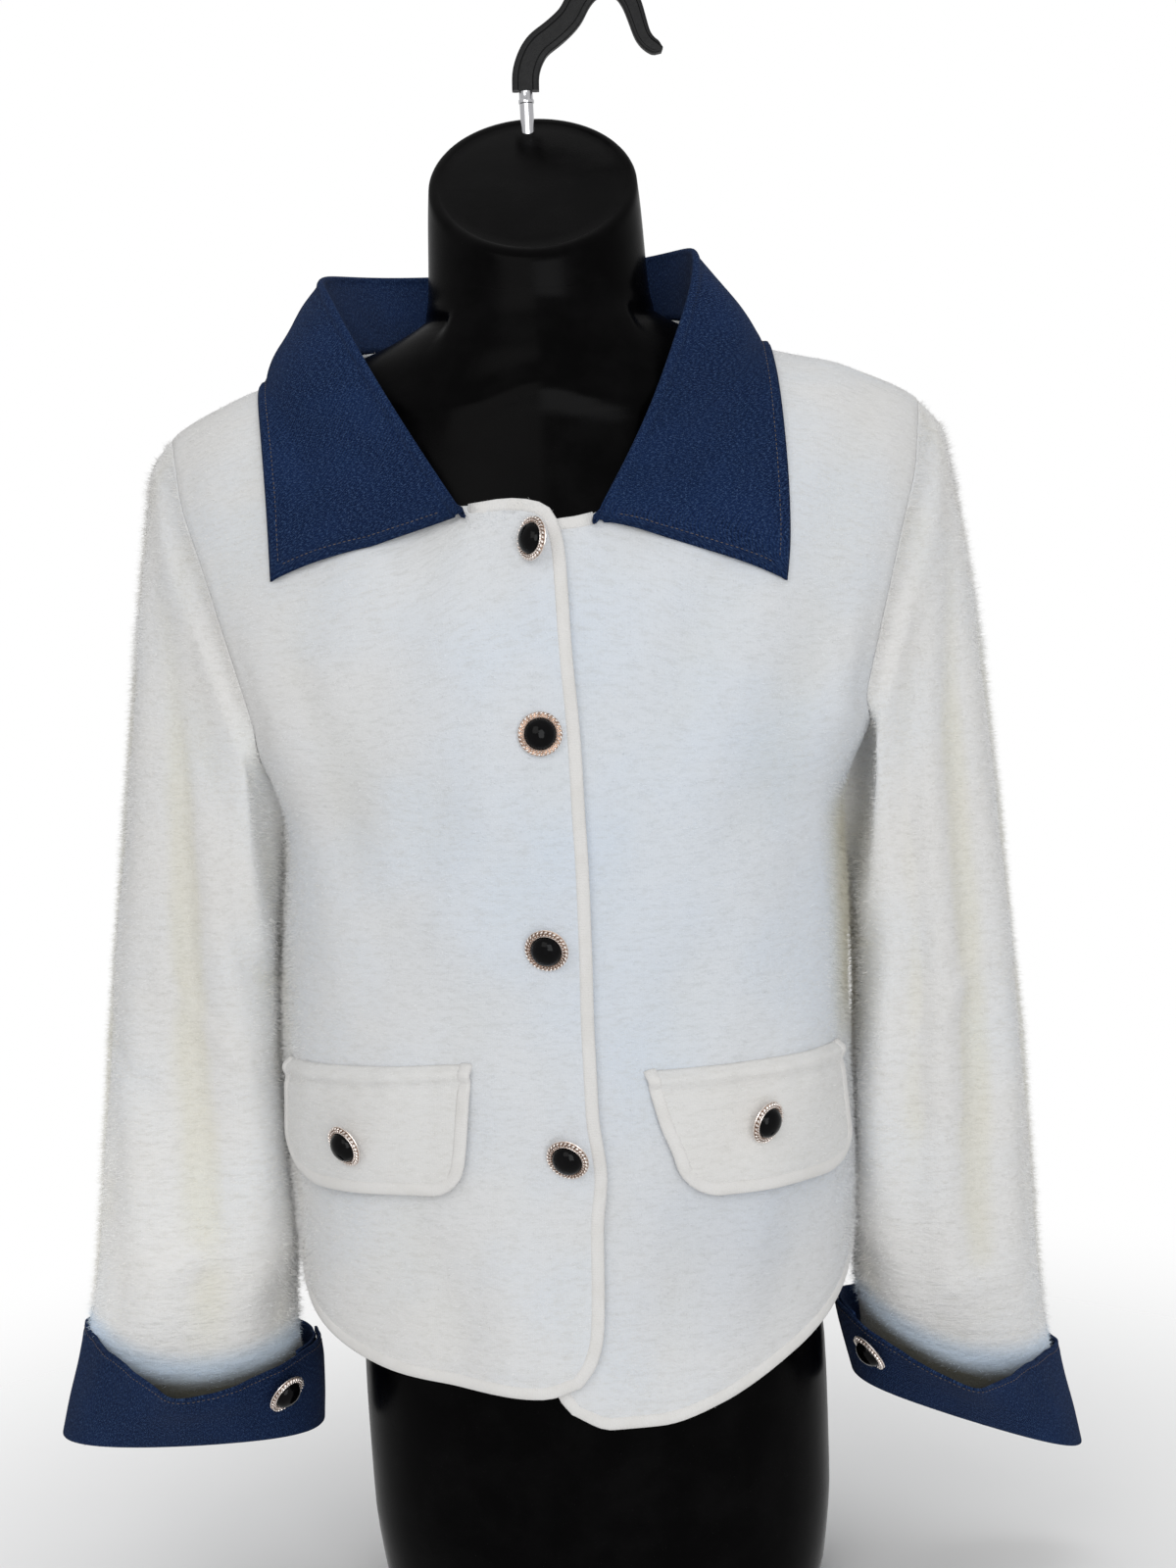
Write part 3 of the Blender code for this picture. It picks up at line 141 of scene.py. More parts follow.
# materials
class Amount:
    # a value socket that takes part in plain sums
    def __init__(self, look, socket):
        self.look, self.socket = look, socket

    def sum(self, operation, first, second=None):
        inputs = {0: first} if second is None else {0: first, 1: second}
        return self.look.amount("ShaderNodeMath", {"operation": operation}, inputs)

    def __add__(self, other):
        return self.sum("ADD", self, other)

    __radd__ = __add__

    def __sub__(self, other):
        return self.sum("SUBTRACT", self, other)

    def __rsub__(self, other):
        return self.sum("SUBTRACT", other, self)

    def __mul__(self, other):
        return self.sum("MULTIPLY", self, other)

    __rmul__ = __mul__

    def sine(self):
        return self.sum("SINE", self)

    def clamped(self):
        return self.look.amount("ShaderNodeClamp", {}, {0: self})


class Look:
    # one material: its shader, its own settings and the nodes that feed it
    def __init__(self, name, colour, roughness, **fixed):
        self.made = bpy.data.materials.new(name)
        self.made.use_nodes = True
        self.tree = self.made.node_tree
        self.shader = self.tree.nodes["Principled BSDF"]
        self.feed(self.shader.inputs["Base Color"], (*colour, 1))
        self.feed(self.shader.inputs["Roughness"], roughness)
        for word, value in fixed.items():
            self.feed(self.shader.inputs[self.socketName(word)], value)
        self.made.diffuse_color = (*colour, 1)

    def socketName(self, word):
        spaced = "".join(" " + letter if letter.isupper() else letter for letter in word)
        return "Specular IOR Level" if word == "specular" else spaced.title()

    def feed(self, socket, value):
        if isinstance(value, Amount):
            value = value.socket
        if isinstance(value, bpy.types.NodeSocket):
            self.tree.links.new(value, socket)
        else:
            socket.default_value = value

    def node(self, kind, settings, inputs):
        made = self.tree.nodes.new(kind)
        for word, value in settings.items():
            setattr(made, word, value)
        for word, value in inputs.items():
            self.feed(made.inputs[word], value)
        return made

    def amount(self, kind, settings, inputs, output=0):
        return Amount(self, self.node(kind, settings, inputs).outputs[output])

    def mapped(self, scale, turn=0.0, uv=True):
        # the piece's own flat map in metres, or its object place, stretched and turned
        if uv:
            source = self.node("ShaderNodeUVMap", {"uv_map": "cloth"}, {}).outputs[0]
        else:
            source = self.node("ShaderNodeTexCoord", {}, {}).outputs["Object"]
        return self.node(
            "ShaderNodeMapping", {}, {"Vector": source, "Scale": scale, "Rotation": (0, 0, turn)}
        ).outputs[0]

    def noise(self, place, scale, detail=2.0, rough=0.5):
        return self.amount(
            "ShaderNodeTexNoise", {}, {"Vector": place, "Scale": scale, "Detail": detail, "Roughness": rough}
        )

    def between(self, value, low, high):
        # 0 below low and 1 above high, with a soft step
        return self.amount(
            "ShaderNodeMapRange",
            {"interpolation_type": "SMOOTHSTEP"},
            {"Value": value, "From Min": low, "From Max": high},
        )

    def blend(self, share, first, second, how="MIX"):
        made = self.node("ShaderNodeMix", {"data_type": "RGBA", "blend_type": how}, {0: share})
        for socket, value in ((made.inputs[6], first), (made.inputs[7], second)):
            self.feed(socket, (*value, 1) if isinstance(value, tuple) else value)
        return made.outputs[2]

    def paint(self, colour):
        self.feed(self.shader.inputs["Base Color"], colour)

    def rough(self, value):
        self.feed(self.shader.inputs["Roughness"], value)

    def bumps(self, height, depth):
        made = self.node("ShaderNodeBump", {}, {"Height": height, "Distance": depth})
        self.feed(self.shader.inputs["Normal"], made.outputs[0])

    def parts(self, place):
        outputs = self.node("ShaderNodeSeparateXYZ", {}, {0: place}).outputs
        return Amount(self, outputs[0]), Amount(self, outputs[1])

    def ridges(self, across, pitch):
        return (across * (2 * math.pi / pitch)).sine() * 0.5 + 0.5

    def paintTinted(self, colour):
        # the piece's own tint laid over the colour
        tint = self.node("ShaderNodeAttribute", {"attribute_name": "tint"}, {}).outputs["Color"]
        self.paint(self.blend(1.0, colour, tint, "MULTIPLY"))


knitColours = {
    "warm": (0.79, 0.78, 0.768),
    "cool": (0.752, 0.776, 0.805),
    "shade": (0.65, 0.64, 0.612),
    "ribPitch": 0.00112,
}


def knitLook(name, clouds, brushed, sheen):
    # brushed rib knit: crosswise wisps of nap over fine upright ribs, with warm and cool clouds
    look = Look(name, knitColours["warm"], 0.95, sheenWeight=sheen, sheenRoughness=0.5, specular=0.06)
    flat = look.mapped((1, 1, 1))
    wide = look.noise(flat, 9.0, 3.0)
    wisps = look.noise(look.mapped((0.36, 1.0, 1.0), 0.05), 330.0, 3.0, 0.55)
    tufts = look.noise(look.mapped((0.42, 1.0, 1.0), -0.06), 760.0, 3.0, 0.6)
    ripples = look.noise(look.mapped((0.3, 1.0, 1.0), 0.03), 150.0, 2.0, 0.5)
    grain = look.noise(flat, 1700.0, 2.0, 0.6)
    rib = look.ridges(look.parts(flat)[0], knitColours["ribPitch"])
    cloudy = look.blend(look.between(wide, 0.38, 0.64) * clouds, knitColours["warm"], knitColours["cool"])
    # painted shade: where the wisps and tufts run low the colour darkens toward the shade colour; the ribs
    # add a faint even stripe
    deep = look.between(wisps * 0.6 + tufts * 0.4, 0.54, 0.34) * brushed + rib * 0.06
    combed = look.blend(deep.clamped(), cloudy, knitColours["shade"])
    look.paintTinted(combed)
    height = wisps * (1.5 * brushed) + tufts * (0.8 * brushed) + grain * 0.12 + rib * 0.03
    look.bumps(height + ripples * (2.4 * brushed), 0.0009)
    return look.made


def bindingLook():
    # smooth fine-gauge strip
    look = Look("knitEdge", (0.8, 0.788, 0.77), 0.9, sheenWeight=0.25, sheenRoughness=0.5, specular=0.06)
    flat = look.mapped((1, 1, 1))
    wide = look.noise(flat, 60.0, 2.0)
    loops = look.ridges(look.parts(flat)[0], 0.0013)
    look.paint(look.blend(look.between(wide, 0.4, 0.65) * 0.7, (0.81, 0.798, 0.782), (0.77, 0.755, 0.73)))
    look.bumps(loops * 0.2 + look.noise(flat, 1800.0, 2.0) * 0.8, 0.00035)
    return look.made


def napLook():
    # the loose fibre ends
    look = Look("knitNap", (0.84, 0.83, 0.81), 0.9, sheenWeight=0.5, sheenRoughness=0.5, specular=0.04)
    wide = look.noise(look.mapped((1, 1, 1), uv=False), 60.0, 2.0)
    colour = look.blend(look.between(wide, 0.35, 0.65), (0.86, 0.855, 0.85), (0.82, 0.805, 0.78))
    look.paintTinted(colour)
    return look.made


denimColours = {
    "ground": (0.0036, 0.0085, 0.027),
    "face": (0.0108, 0.029, 0.098),
    "fleck": (0.064, 0.112, 0.215),
    "twillPitch": 0.00115,
}


def denimLook(name):
    # dark twill: slanting ridges, long warp slubs and pale flecks, paler in broad random patches
    look = Look(name, denimColours["face"], 0.92, sheenWeight=0.02, sheenRoughness=0.4, specular=0.06)
    flat = look.mapped((1, 1, 1))
    across, up = look.parts(flat)
    pitch = 2 * math.pi / denimColours["twillPitch"]
    wander = look.noise(flat, 500.0, 2.0) * 1.6
    twill = ((across * 0.8 + up * 0.6) * pitch + wander).sine() * 0.5 + 0.5
    slubs = look.noise(look.mapped((1.0, 0.42, 1.0)), 1250.0, 3.0, 0.65)
    crumbs = look.noise(look.mapped((1.0, 0.7, 1.0)), 1900.0, 2.0, 0.6)
    wide = look.noise(flat, 26.0, 3.0)
    woven = look.blend(twill * 0.55 + look.between(slubs, 0.36, 0.64) * 0.45,
                       denimColours["ground"], denimColours["face"])
    worn = look.blend(look.between(wide, 0.4, 0.7) * 0.35, woven, denimColours["face"])
    look.paint(look.blend(look.between(crumbs * 0.5 + slubs * 0.5, 0.5, 0.64) * 0.8,
                          worn, denimColours["fleck"]))
    look.bumps(twill * 0.5 + slubs * 0.9 + crumbs * 0.4, 0.00042)
    return look.made


def threadLook():
    look = Look("tanThread", (0.185, 0.15, 0.12), 0.8, specular=0.15)
    grain = look.noise(look.mapped((1, 1, 1), uv=False), 900.0, 2.0)
    look.paint(look.blend(look.between(grain, 0.4, 0.65), (0.205, 0.16, 0.12), (0.12, 0.105, 0.1)))
    return look.made


def goldLook(name, bright, dull, smooth, metal):
    # pale rose gold plate, duller in random patches; a darker copy of it is painted shade in the hollows
    # under the beads
    look = Look(name, bright, smooth, metallic=metal)
    place = look.mapped((1, 1, 1), uv=False)
    tarnish = look.between(look.noise(place, 420.0, 3.0), 0.42, 0.68)
    look.paint(look.blend(tarnish, bright, dull))
    look.rough(tarnish * 0.16 + smooth)
    return look.made


def blackGlossLook(name, colour, low, high, scratchScale, shine):
    look = Look(name, colour, low, specular=shine)
    place = look.mapped((1, 1, 1), uv=False)
    haze = look.between(look.noise(place, scratchScale, 4.0, 0.6), 0.35, 0.75)
    look.rough(haze * (high - low) + low)
    look.paint(look.blend(haze * 0.6, colour, tuple(part * 1.9 + 0.002 for part in colour)))
    look.bumps(look.noise(place, scratchScale * 2.2, 2.0), 0.00008)
    return look.made


def steelLook():
    look = Look("polishedSteel", (0.78, 0.78, 0.8), 0.12, metallic=1.0)
    brushed = look.noise(look.mapped((1.0, 1.0, 0.05), uv=False), 900.0, 3.0)
    look.rough(look.between(brushed, 0.3, 0.7) * 0.14 + 0.07)
    look.paint(look.blend(look.between(brushed, 0.3, 0.7), (0.82, 0.82, 0.84), (0.62, 0.62, 0.65)))
    return look.made


def floorLook():
    # pale floor that melts into the white room
    look = Look("paleFloor", (0.93, 0.93, 0.93), 0.9, specular=0.0)
    place = look.mapped((1, 1, 1), uv=False)
    wide = look.noise(place, 1.2, 2.0)
    look.paint(look.blend(look.between(wide, 0.4, 0.6), (0.93, 0.93, 0.93), (0.94, 0.94, 0.945)))
    away = look.amount("ShaderNodeVectorMath", {"operation": "LENGTH"}, {0: place}, "Value")
    look.feed(look.shader.inputs["Alpha"], look.between(away, 0.85, 0.1))
    return look.made


looks = {
    "knitBody": knitLook("brushedKnitBody", 0.85, 0.42, 0.25),
    "knitSleeve": knitLook("brushedKnitSleeve", 0.62, 0.5, 0.6),
    "knitFlap": knitLook("brushedKnitFlap", 0.3, 0.34, 0.25),
    "edge": bindingLook(),
    "nap": napLook(),
    "denim": denimLook("darkDenim"),
    "thread": threadLook(),
    "gold": goldLook("roseGold", (1.0, 0.93, 0.885), (0.88, 0.77, 0.7), 0.14, 0.8),
    # painted shade: a dark copy of the gold for the hollows between the beads
    "goldShade": goldLook("roseGoldPaintedShade", (0.4, 0.27, 0.2), (0.22, 0.14, 0.1), 0.3, 0.9),
    "dome": blackGlossLook("blackDome", (0.001, 0.0009, 0.0012), 0.03, 0.07, 300.0, 0.13),
    "form": blackGlossLook("glossyForm", (0.0009, 0.0008, 0.0009), 0.22, 0.3, 34.0, 0.042),
    "hook": blackGlossLook("satinHook", (0.0045, 0.0045, 0.005), 0.36, 0.5, 260.0, 0.2),
    "steel": steelLook(),
}
floor.data.materials.append(floorLook())
print("materials made")


# curves and grids
def smoothCurve(xs, ys):
    # a smooth curve through the rows with no overshoot, read at any places
    xs, ys = np.asarray(xs, float), np.asarray(ys, float)
    step = np.diff(xs)
    rise = np.diff(ys) / step
    slope = np.zeros(len(xs))
    slope[0], slope[-1] = rise[0], rise[-1]
    for k in range(1, len(xs) - 1):
        if rise[k - 1] * rise[k] > 0:
            slope[k] = 2 * rise[k - 1] * rise[k] / (rise[k - 1] + rise[k])

    def read(at):
        at = np.asarray(at, float)
        k = np.clip(np.searchsorted(xs, at) - 1, 0, len(xs) - 2)
        t = np.clip((at - xs[k]) / step[k], 0, 1)
        a = 2 * t**3 - 3 * t**2 + 1
        first = a * ys[k] + (t**3 - 2 * t**2 + t) * step[k] * slope[k]
        return first + (1 - a) * ys[k + 1] + (t**3 - t**2) * step[k] * slope[k + 1]

    return read


def curvesOf(columns, rows):
    firsts = [row[0] for row in rows]
    return {name: smoothCurve(firsts, [row[k] for row in rows]) for k, name in enumerate(columns) if k}


def softStep(value):
    value = np.clip(value, 0, 1)
    return value * value * (3 - 2 * value)


def unit(vectors):
    return vectors / np.maximum(np.linalg.norm(vectors, axis=-1, keepdims=True), 1e-12)


def bell(away, width):
    return np.exp(-((away / width) ** 2))


def depthAt(share, square):
    # how deep a rounded square reaches at a share of its half width
    return (1 - share**square) ** (1 / square)


def runAlong(points, axis=0):
    # how far along its line each point lies
    steps = np.linalg.norm(np.diff(points, axis=axis), axis=-1)
    start = np.zeros_like(np.take(steps, (0,), axis=axis))
    return np.concatenate((start, np.cumsum(steps, axis=axis)), axis=axis)


def toLast(points):
    # how far each point of a grid lies from the last one of its row
    return runAlong(points[:, ::-1], 1)[:, ::-1]


def shares(chain):
    run = runAlong(np.asarray(chain, float) * np.array((0.15, 1.0)))
    return run / run[-1]


def pathOf(chain):
    chain = np.asarray(chain, float)
    run = shares(chain)
    turn, up = smoothCurve(run, chain[:, 0]), smoothCurve(run, chain[:, 1])
    return lambda at: np.stack((turn(at), up(at)), axis=-1)


def patch(lowU, highU, lowV, highV):
    # a patch between four edges that meet at its corners
    c00, c01, c10, c11 = lowU(0.0), lowU(1.0), highU(0.0), highU(1.0)

    def place(u, v):
        a, b = u[..., None], v[..., None]
        sides = (1 - a) * lowU(v) + a * highU(v)
        ends = (1 - b) * lowV(u) + b * highV(u)
        corners = (1 - a) * ((1 - b) * c00 + b * c01) + a * ((1 - b) * c10 + b * c11)
        return sides + ends - corners

    return place


def spread(*stretches):
    # shares from 0 to 1: each stretch gives where it ends and its number of steps
    marks, start = [0.0], 0.0
    for end, count in stretches:
        marks += [start + (end - start) * (k + 1) / count for k in range(count)]
        start = end
    return np.array(marks)


def gridNormals(points, outward):
    along = np.gradient(points, axis=0)
    up = np.gradient(points, axis=1)
    return unit(np.cross(along, up)) * outward


def sheetMesh(name, points, flat, closed=False, caps=False, tint=None):
    # a grid moved onto the points, with a flat map in metres and a tint at each point
    cols, rows = points.shape[:2]
    mesh = bmesh.new()
    bmesh.ops.create_grid(mesh, x_segments=cols - 1, y_segments=rows - 1, size=1.0)
    data = bpy.data.meshes.new(name)
    mesh.to_mesh(data)
    where = np.empty(len(data.vertices) * 3)
    data.vertices.foreach_get("co", where)
    where = where.reshape(-1, 3)
    i = np.rint((where[:, 0] + 1) / 2 * (cols - 1)).astype(int)
    j = np.rint((where[:, 1] + 1) / 2 * (rows - 1)).astype(int)
    data.vertices.foreach_set("co", points[i, j].ravel())
    corner = np.empty(len(data.loops), int)
    data.loops.foreach_get("vertex_index", corner)
    layer = data.uv_layers.new(name="cloth")
    layer.data.foreach_set("uv", flat[i, j][corner].ravel())
    if tint is not None:
        colours = np.concatenate((tint[i, j], np.ones((len(i), 1))), axis=1)
        data.color_attributes.new("tint", "FLOAT_COLOR", "POINT").data.foreach_set("color", colours.ravel())
    mesh.free()
    if closed or caps:
        mesh = bmesh.new()
        mesh.from_mesh(data)
        bmesh.ops.remove_doubles(mesh, verts=mesh.verts, dist=0.00001)
        if caps:
            bmesh.ops.holes_fill(mesh, edges=mesh.edges)
            bmesh.ops.recalc_face_normals(mesh, faces=mesh.faces)
        mesh.to_mesh(data)
        mesh.free()
    return data


def addPiece(name, data, look, nodes=()):
    made = bpy.data.objects.new(name, data)
    bpy.context.scene.collection.objects.link(made)
    data.materials.append(look)
    data.polygons.foreach_set("use_smooth", [True] * len(data.polygons))
    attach(made, "root")
    if nodes:
        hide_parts(*nodes)
    pieces[name] = made
    return made


def addSheet(name, node, points, flat, look, outward, wall, closed=False, tint=None):
    # a sheet of cloth, thickened inward
    data = sheetMesh(name, points, flat, closed, tint=tint)
    if outward < 0:
        data.flip_normals()
    thick = addPiece(name, data, looks[look], (node,)).modifiers.new("wall", "SOLIDIFY")
    thick.thickness = wall
    thick.offset = -1.0
    thick.use_rim = True


def addKnit(name, node, points, flat, look, outward, tint, closed=False):
    addSheet(name, node, points, flat, look, outward, bodyForm["wall"], closed, tint)


# the jacket's outer surface: level sections, then a roof up to the shoulder ridge
bodyForm = {
    "square": 2.5,
    "roofSquare": 2.2,
    "roofStart": 0.44,
    "roofTop": 0.7,
    "roofRun": 0.25,
    "columns": ("height", "half", "centre", "front", "back"),
    "sections": (
        (0.1, 0.152, -0.006, 0.121, 0.102),
        (0.2, 0.1535, -0.0065, 0.1205, 0.1005),
        (0.27, 0.156, -0.0065, 0.12, 0.099),
        (0.33, 0.157, -0.0065, 0.1205, 0.0985),
        (0.38, 0.1545, -0.004, 0.1225, 0.099),
        (0.44, 0.15, -0.001, 0.1235, 0.101),
        (0.5, 0.178, 0.0, 0.12, 0.103),
        (0.58, 0.203, 0.0, 0.112, 0.103),
        (0.65, 0.216, 0.0, 0.105, 0.103),
        (0.72, 0.219, 0.0, 0.102, 0.109),
    ),
    # across, height
    "ridge": (
        (0.0, 0.75), (0.04, 0.736), (0.062, 0.718), (0.08, 0.706), (0.1, 0.6975), (0.125, 0.6885),
        (0.157, 0.68), (0.18, 0.6715), (0.2, 0.6612), (0.216, 0.6465),
    ),
    "wall": 0.0016,
    "lap": 0.0052,
}
bodyCurves = curvesOf(bodyForm["columns"], bodyForm["sections"])
ridgeCurve = smoothCurve(*zip(*bodyForm["ridge"]))
roofStart, roofRun = bodyForm["roofStart"], bodyForm["roofRun"]
topRun = roofStart + roofRun * quarterTurn


def ridge(across):
    return ridgeCurve(np.abs(across))


def rounded(angle, square):
    side, ahead = np.sin(angle), np.cos(angle)
    size = (np.abs(side) ** square + np.abs(ahead) ** square) ** (1 / square)
    return side / size, ahead / size


def roofLevel(rise):
    return roofStart + (bodyForm["roofTop"] - roofStart) * rise


def toSurface(across, height):
    # front-view place to turn round the body and run up it
    rise = np.clip((height - roofStart) / (ridge(across) - roofStart), 0, 1)
    level = np.where(height <= roofStart, height, roofLevel(rise))
    roof = depthAt(rise, bodyForm["roofSquare"])
    run = np.where(height <= roofStart, height, roofStart + roofRun * np.arctan2(rise, roof))
    share = np.clip((across - bodyCurves["centre"](level)) / bodyCurves["half"](level), -1, 1)
    depth = depthAt(np.abs(share), bodyForm["square"])
    return np.arctan2(share, depth), run


def surfaceChain(rows):
    return [tuple(float(part) for part in toSurface(across, height)) for across, height in rows]


def onBody(face, turn, run, out=0.0):
    # a point of the jacket's outer surface; face is -1 in front and 1 behind
    side, ahead = rounded(turn, bodyForm["square"])
    rise, roof = rounded(np.clip((run - roofStart) / roofRun, 0, quarterTurn), bodyForm["roofSquare"])
    low = run <= roofStart
    level = np.where(low, run, roofLevel(rise))
    across = bodyCurves["centre"](level) + (bodyCurves["half"](level) + out) * side
    height = np.where(low, run, roofStart + (ridge(across) + out - roofStart) * rise)
    deep = bodyCurves["front" if face < 0 else "back"](level) + out
    return np.stack((across, face * deep * np.where(low, 1.0, roof) * ahead, height), axis=-1)


def lapLift(across):
    # the right front rises over the left one toward its edge
    return bodyForm["lap"] * softStep((across + 0.08) / 0.045)


def foldField(across, height, folds):
    # soft ridges and troughs along drawn lines: points, half width, height, lean to one side
    total = np.zeros(np.broadcast(across, height).shape)
    for line, width, high, lean in folds:
        knots = np.array(line, float)
        lengths = np.linalg.norm(np.diff(knots, axis=0), axis=1)
        starts = np.concatenate(([0.0], np.cumsum(lengths)))
        best = np.full(total.shape, 9.0)
        share = np.zeros(total.shape)
        for k in range(len(knots) - 1):
            (x0, z0), (dx, dz) = knots[k], knots[k + 1] - knots[k]
            t = np.clip(((across - x0) * dx + (height - z0) * dz) / (dx * dx + dz * dz), 0, 1)
            offX, offZ = across - x0 - dx * t, height - z0 - dz * t
            far = np.hypot(offX, offZ)
            signed = far * np.sign(offX * dz - offZ * dx)
            near = far < np.abs(best)
            best = np.where(near, signed, best)
            share = np.where(near, (starts[k] + lengths[k] * t) / starts[-1], share)
        wide = width * (1 + lean * np.sign(best)) * (0.75 + 0.5 * share)
        ends = np.sin(math.pi * np.clip(share * 0.94 + 0.03, 0, 1)) ** 0.7
        total += high * ends * bell(best, wide)
    return total


# fronts
frontForm = {
    # across, height down each free edge from the hem's corner
    "edgeRight": (
        (-0.0075, 0.1525), (0.0, 0.163), (0.0045, 0.179), (0.006, 0.2), (0.0076, 0.235), (0.0106, 0.262),
        (0.0078, 0.295), (0.0078, 0.33), (0.0092, 0.39), (0.0092, 0.47), (0.0072, 0.53), (0.0062, 0.578),
        (0.003, 0.595), (-0.0045, 0.6035),
    ),
    "neckRight": (
        (-0.016, 0.606), (-0.0434, 0.605), (-0.06, 0.619), (-0.08, 0.646), (-0.096, 0.676),
        (-0.102, 0.6955),
    ),
    "edgeLeft": (
        (-0.012, 0.137), (-0.018, 0.145), (-0.0208, 0.156), (-0.0218, 0.175), (-0.022, 0.245),
        (-0.022, 0.34), (-0.022, 0.44), (-0.022, 0.53), (-0.0215, 0.57), (-0.019, 0.583), (-0.013, 0.592),
    ),
    "neckLeft": (
        (0.0, 0.597), (0.0226, 0.599), (0.04, 0.613), (0.059, 0.642), (0.073, 0.678), (0.08, 0.704),
    ),
    # share of the turn to the side seam, height
    "hemRight": (
        (0.0, 0.1475), (0.08, 0.1475), (0.2, 0.1515), (0.34, 0.156), (0.5, 0.164), (0.66, 0.178),
        (0.82, 0.193), (1.0, 0.203),
    ),
    "hemLeft": (
        (-0.06, 0.1345), (0.06, 0.128), (0.16, 0.1285), (0.3, 0.137), (0.48, 0.156), (0.66, 0.174),
        (0.84, 0.192), (1.0, 0.203),
    ),
    "armhole": (
        (0.156, 0.46), (0.164, 0.5), (0.176, 0.545), (0.188, 0.586), (0.199, 0.623), (0.2065, 0.6515),
    ),
    "sideHem": 0.203,
    "sideWaist": 0.3,
    "armpit": 0.425,
    "shoulder": (0.2065, 0.6515),
    # line of points, half width, height, lean
    "folds": (
        (((-0.176, 0.56), (-0.15, 0.5), (-0.128, 0.42), (-0.118, 0.34)), 0.017, 0.0034, 0.25),
        (((-0.14, 0.545), (-0.122, 0.48), (-0.104, 0.4)), 0.013, -0.0022, -0.2),
        (((-0.12, 0.61), (-0.085, 0.56), (-0.05, 0.52)), 0.02, 0.0018, 0.2),
        (((-0.09, 0.47), (-0.05, 0.44), (-0.014, 0.392)), 0.018, -0.0016, 0.1),
        (((-0.1, 0.43), (-0.06, 0.38), (-0.018, 0.378)), 0.015, 0.0013, 0.0),
        (((-0.06, 0.56), (-0.03, 0.52), (-0.012, 0.492)), 0.014, 0.0014, 0.1),
        (((-0.06, 0.33), (-0.035, 0.3), (-0.012, 0.272)), 0.015, 0.0014, 0.1),
        (((-0.095, 0.25), (-0.08, 0.21), (-0.072, 0.165)), 0.016, -0.002, 0.2),
        (((-0.045, 0.235), (-0.04, 0.19), (-0.036, 0.15)), 0.018, 0.0018, -0.2),
        (((0.172, 0.56), (0.15, 0.5), (0.136, 0.43), (0.132, 0.37)), 0.015, 0.0036, -0.25),
        (((0.148, 0.555), (0.126, 0.49), (0.112, 0.42)), 0.014, -0.0026, 0.2),
        (((0.1, 0.56), (0.07, 0.52), (0.045, 0.455)), 0.022, -0.0017, 0.2),
        (((0.07, 0.59), (0.05, 0.545), (0.028, 0.5)), 0.016, 0.0016, -0.1),
        (((0.11, 0.43), (0.07, 0.395), (0.03, 0.38)), 0.018, 0.0014, 0.0),
        (((0.095, 0.25), (0.084, 0.205), (0.078, 0.16)), 0.017, 0.002, 0.2),
        (((0.05, 0.245), (0.046, 0.19), (0.044, 0.14)), 0.019, -0.0022, -0.2),
        (((0.018, 0.23), (0.02, 0.18), (0.022, 0.132)), 0.014, 0.0016, 0.0),
    ),
    "steps": (((0.06, 9), (0.95, 48), (1.0, 5)), ((0.03, 8), (0.97, 128), (1.0, 6))),
}


def frontWave(across, height):
    slow = 0.0009 * np.sin(across * 61 + 1.3) * np.sin(height * 23 + 0.4)
    slow = slow + 0.0006 * np.sin(across * 118 - height * 47 + 2.1)
    return foldField(across, height, frontForm["folds"]) + slow


# how the cloth dips at a seam, swells beside it and is pressed flat by its bound edge
seamForm = {
    "fade": 0.03,
    "dip": 0.0006,
    "dipWidth": 0.003,
    "swellAt": 0.006,
    "swellWidth": 0.004,
    "press": 0.0007,
    "pressWidth": 0.0045,
    "frontBound": 0.0068,
    "backBound": 0.0056,
}


def panelOut(wave, fromSeam, fromTop, bound, dip, swell):
    fade = seamForm["fade"]
    seam = np.minimum(fromSeam, fromTop)
    out = wave * (softStep(fromSeam / fade) * softStep(fromTop / fade))
    out = out - dip * bell(seam, seamForm["dipWidth"])
    out = out + swell * bell(seam - seamForm["swellAt"], seamForm["swellWidth"])
    pressed = 1 - softStep(bound / seamForm["pressWidth"])
    return out - seamForm["press"] * pressed * softStep(fromSeam / 0.004)


def panelAt(place, face, u, v):
    # a panel's own turn and run, its plain place, its width there and how far it lies from the hem
    turn, run = np.moveaxis(place(u, v), -1, 0)
    x, _, z = np.moveaxis(onBody(face, turn, run), -1, 0)
    wide = np.abs(place(np.ones_like(v), v)[..., 0] - place(np.zeros_like(v), v)[..., 0]) * perTurn
    return turn, run, x, z, wide, run - place(u, np.zeros_like(u))[..., 1]


def sideChain(side, armhole):
    # up the side seam and round the armhole to the shoulder's tip
    chain = [(side * quarterTurn, frontForm[key]) for key in ("sideHem", "sideWaist", "armpit")]
    across, height = frontForm["shoulder"]
    tip = surfaceChain([(side * across, height)])[0]
    return chain + surfaceChain([(side * x, z) for x, z in armhole[:-1]]) + [(tip[0], topRun)]


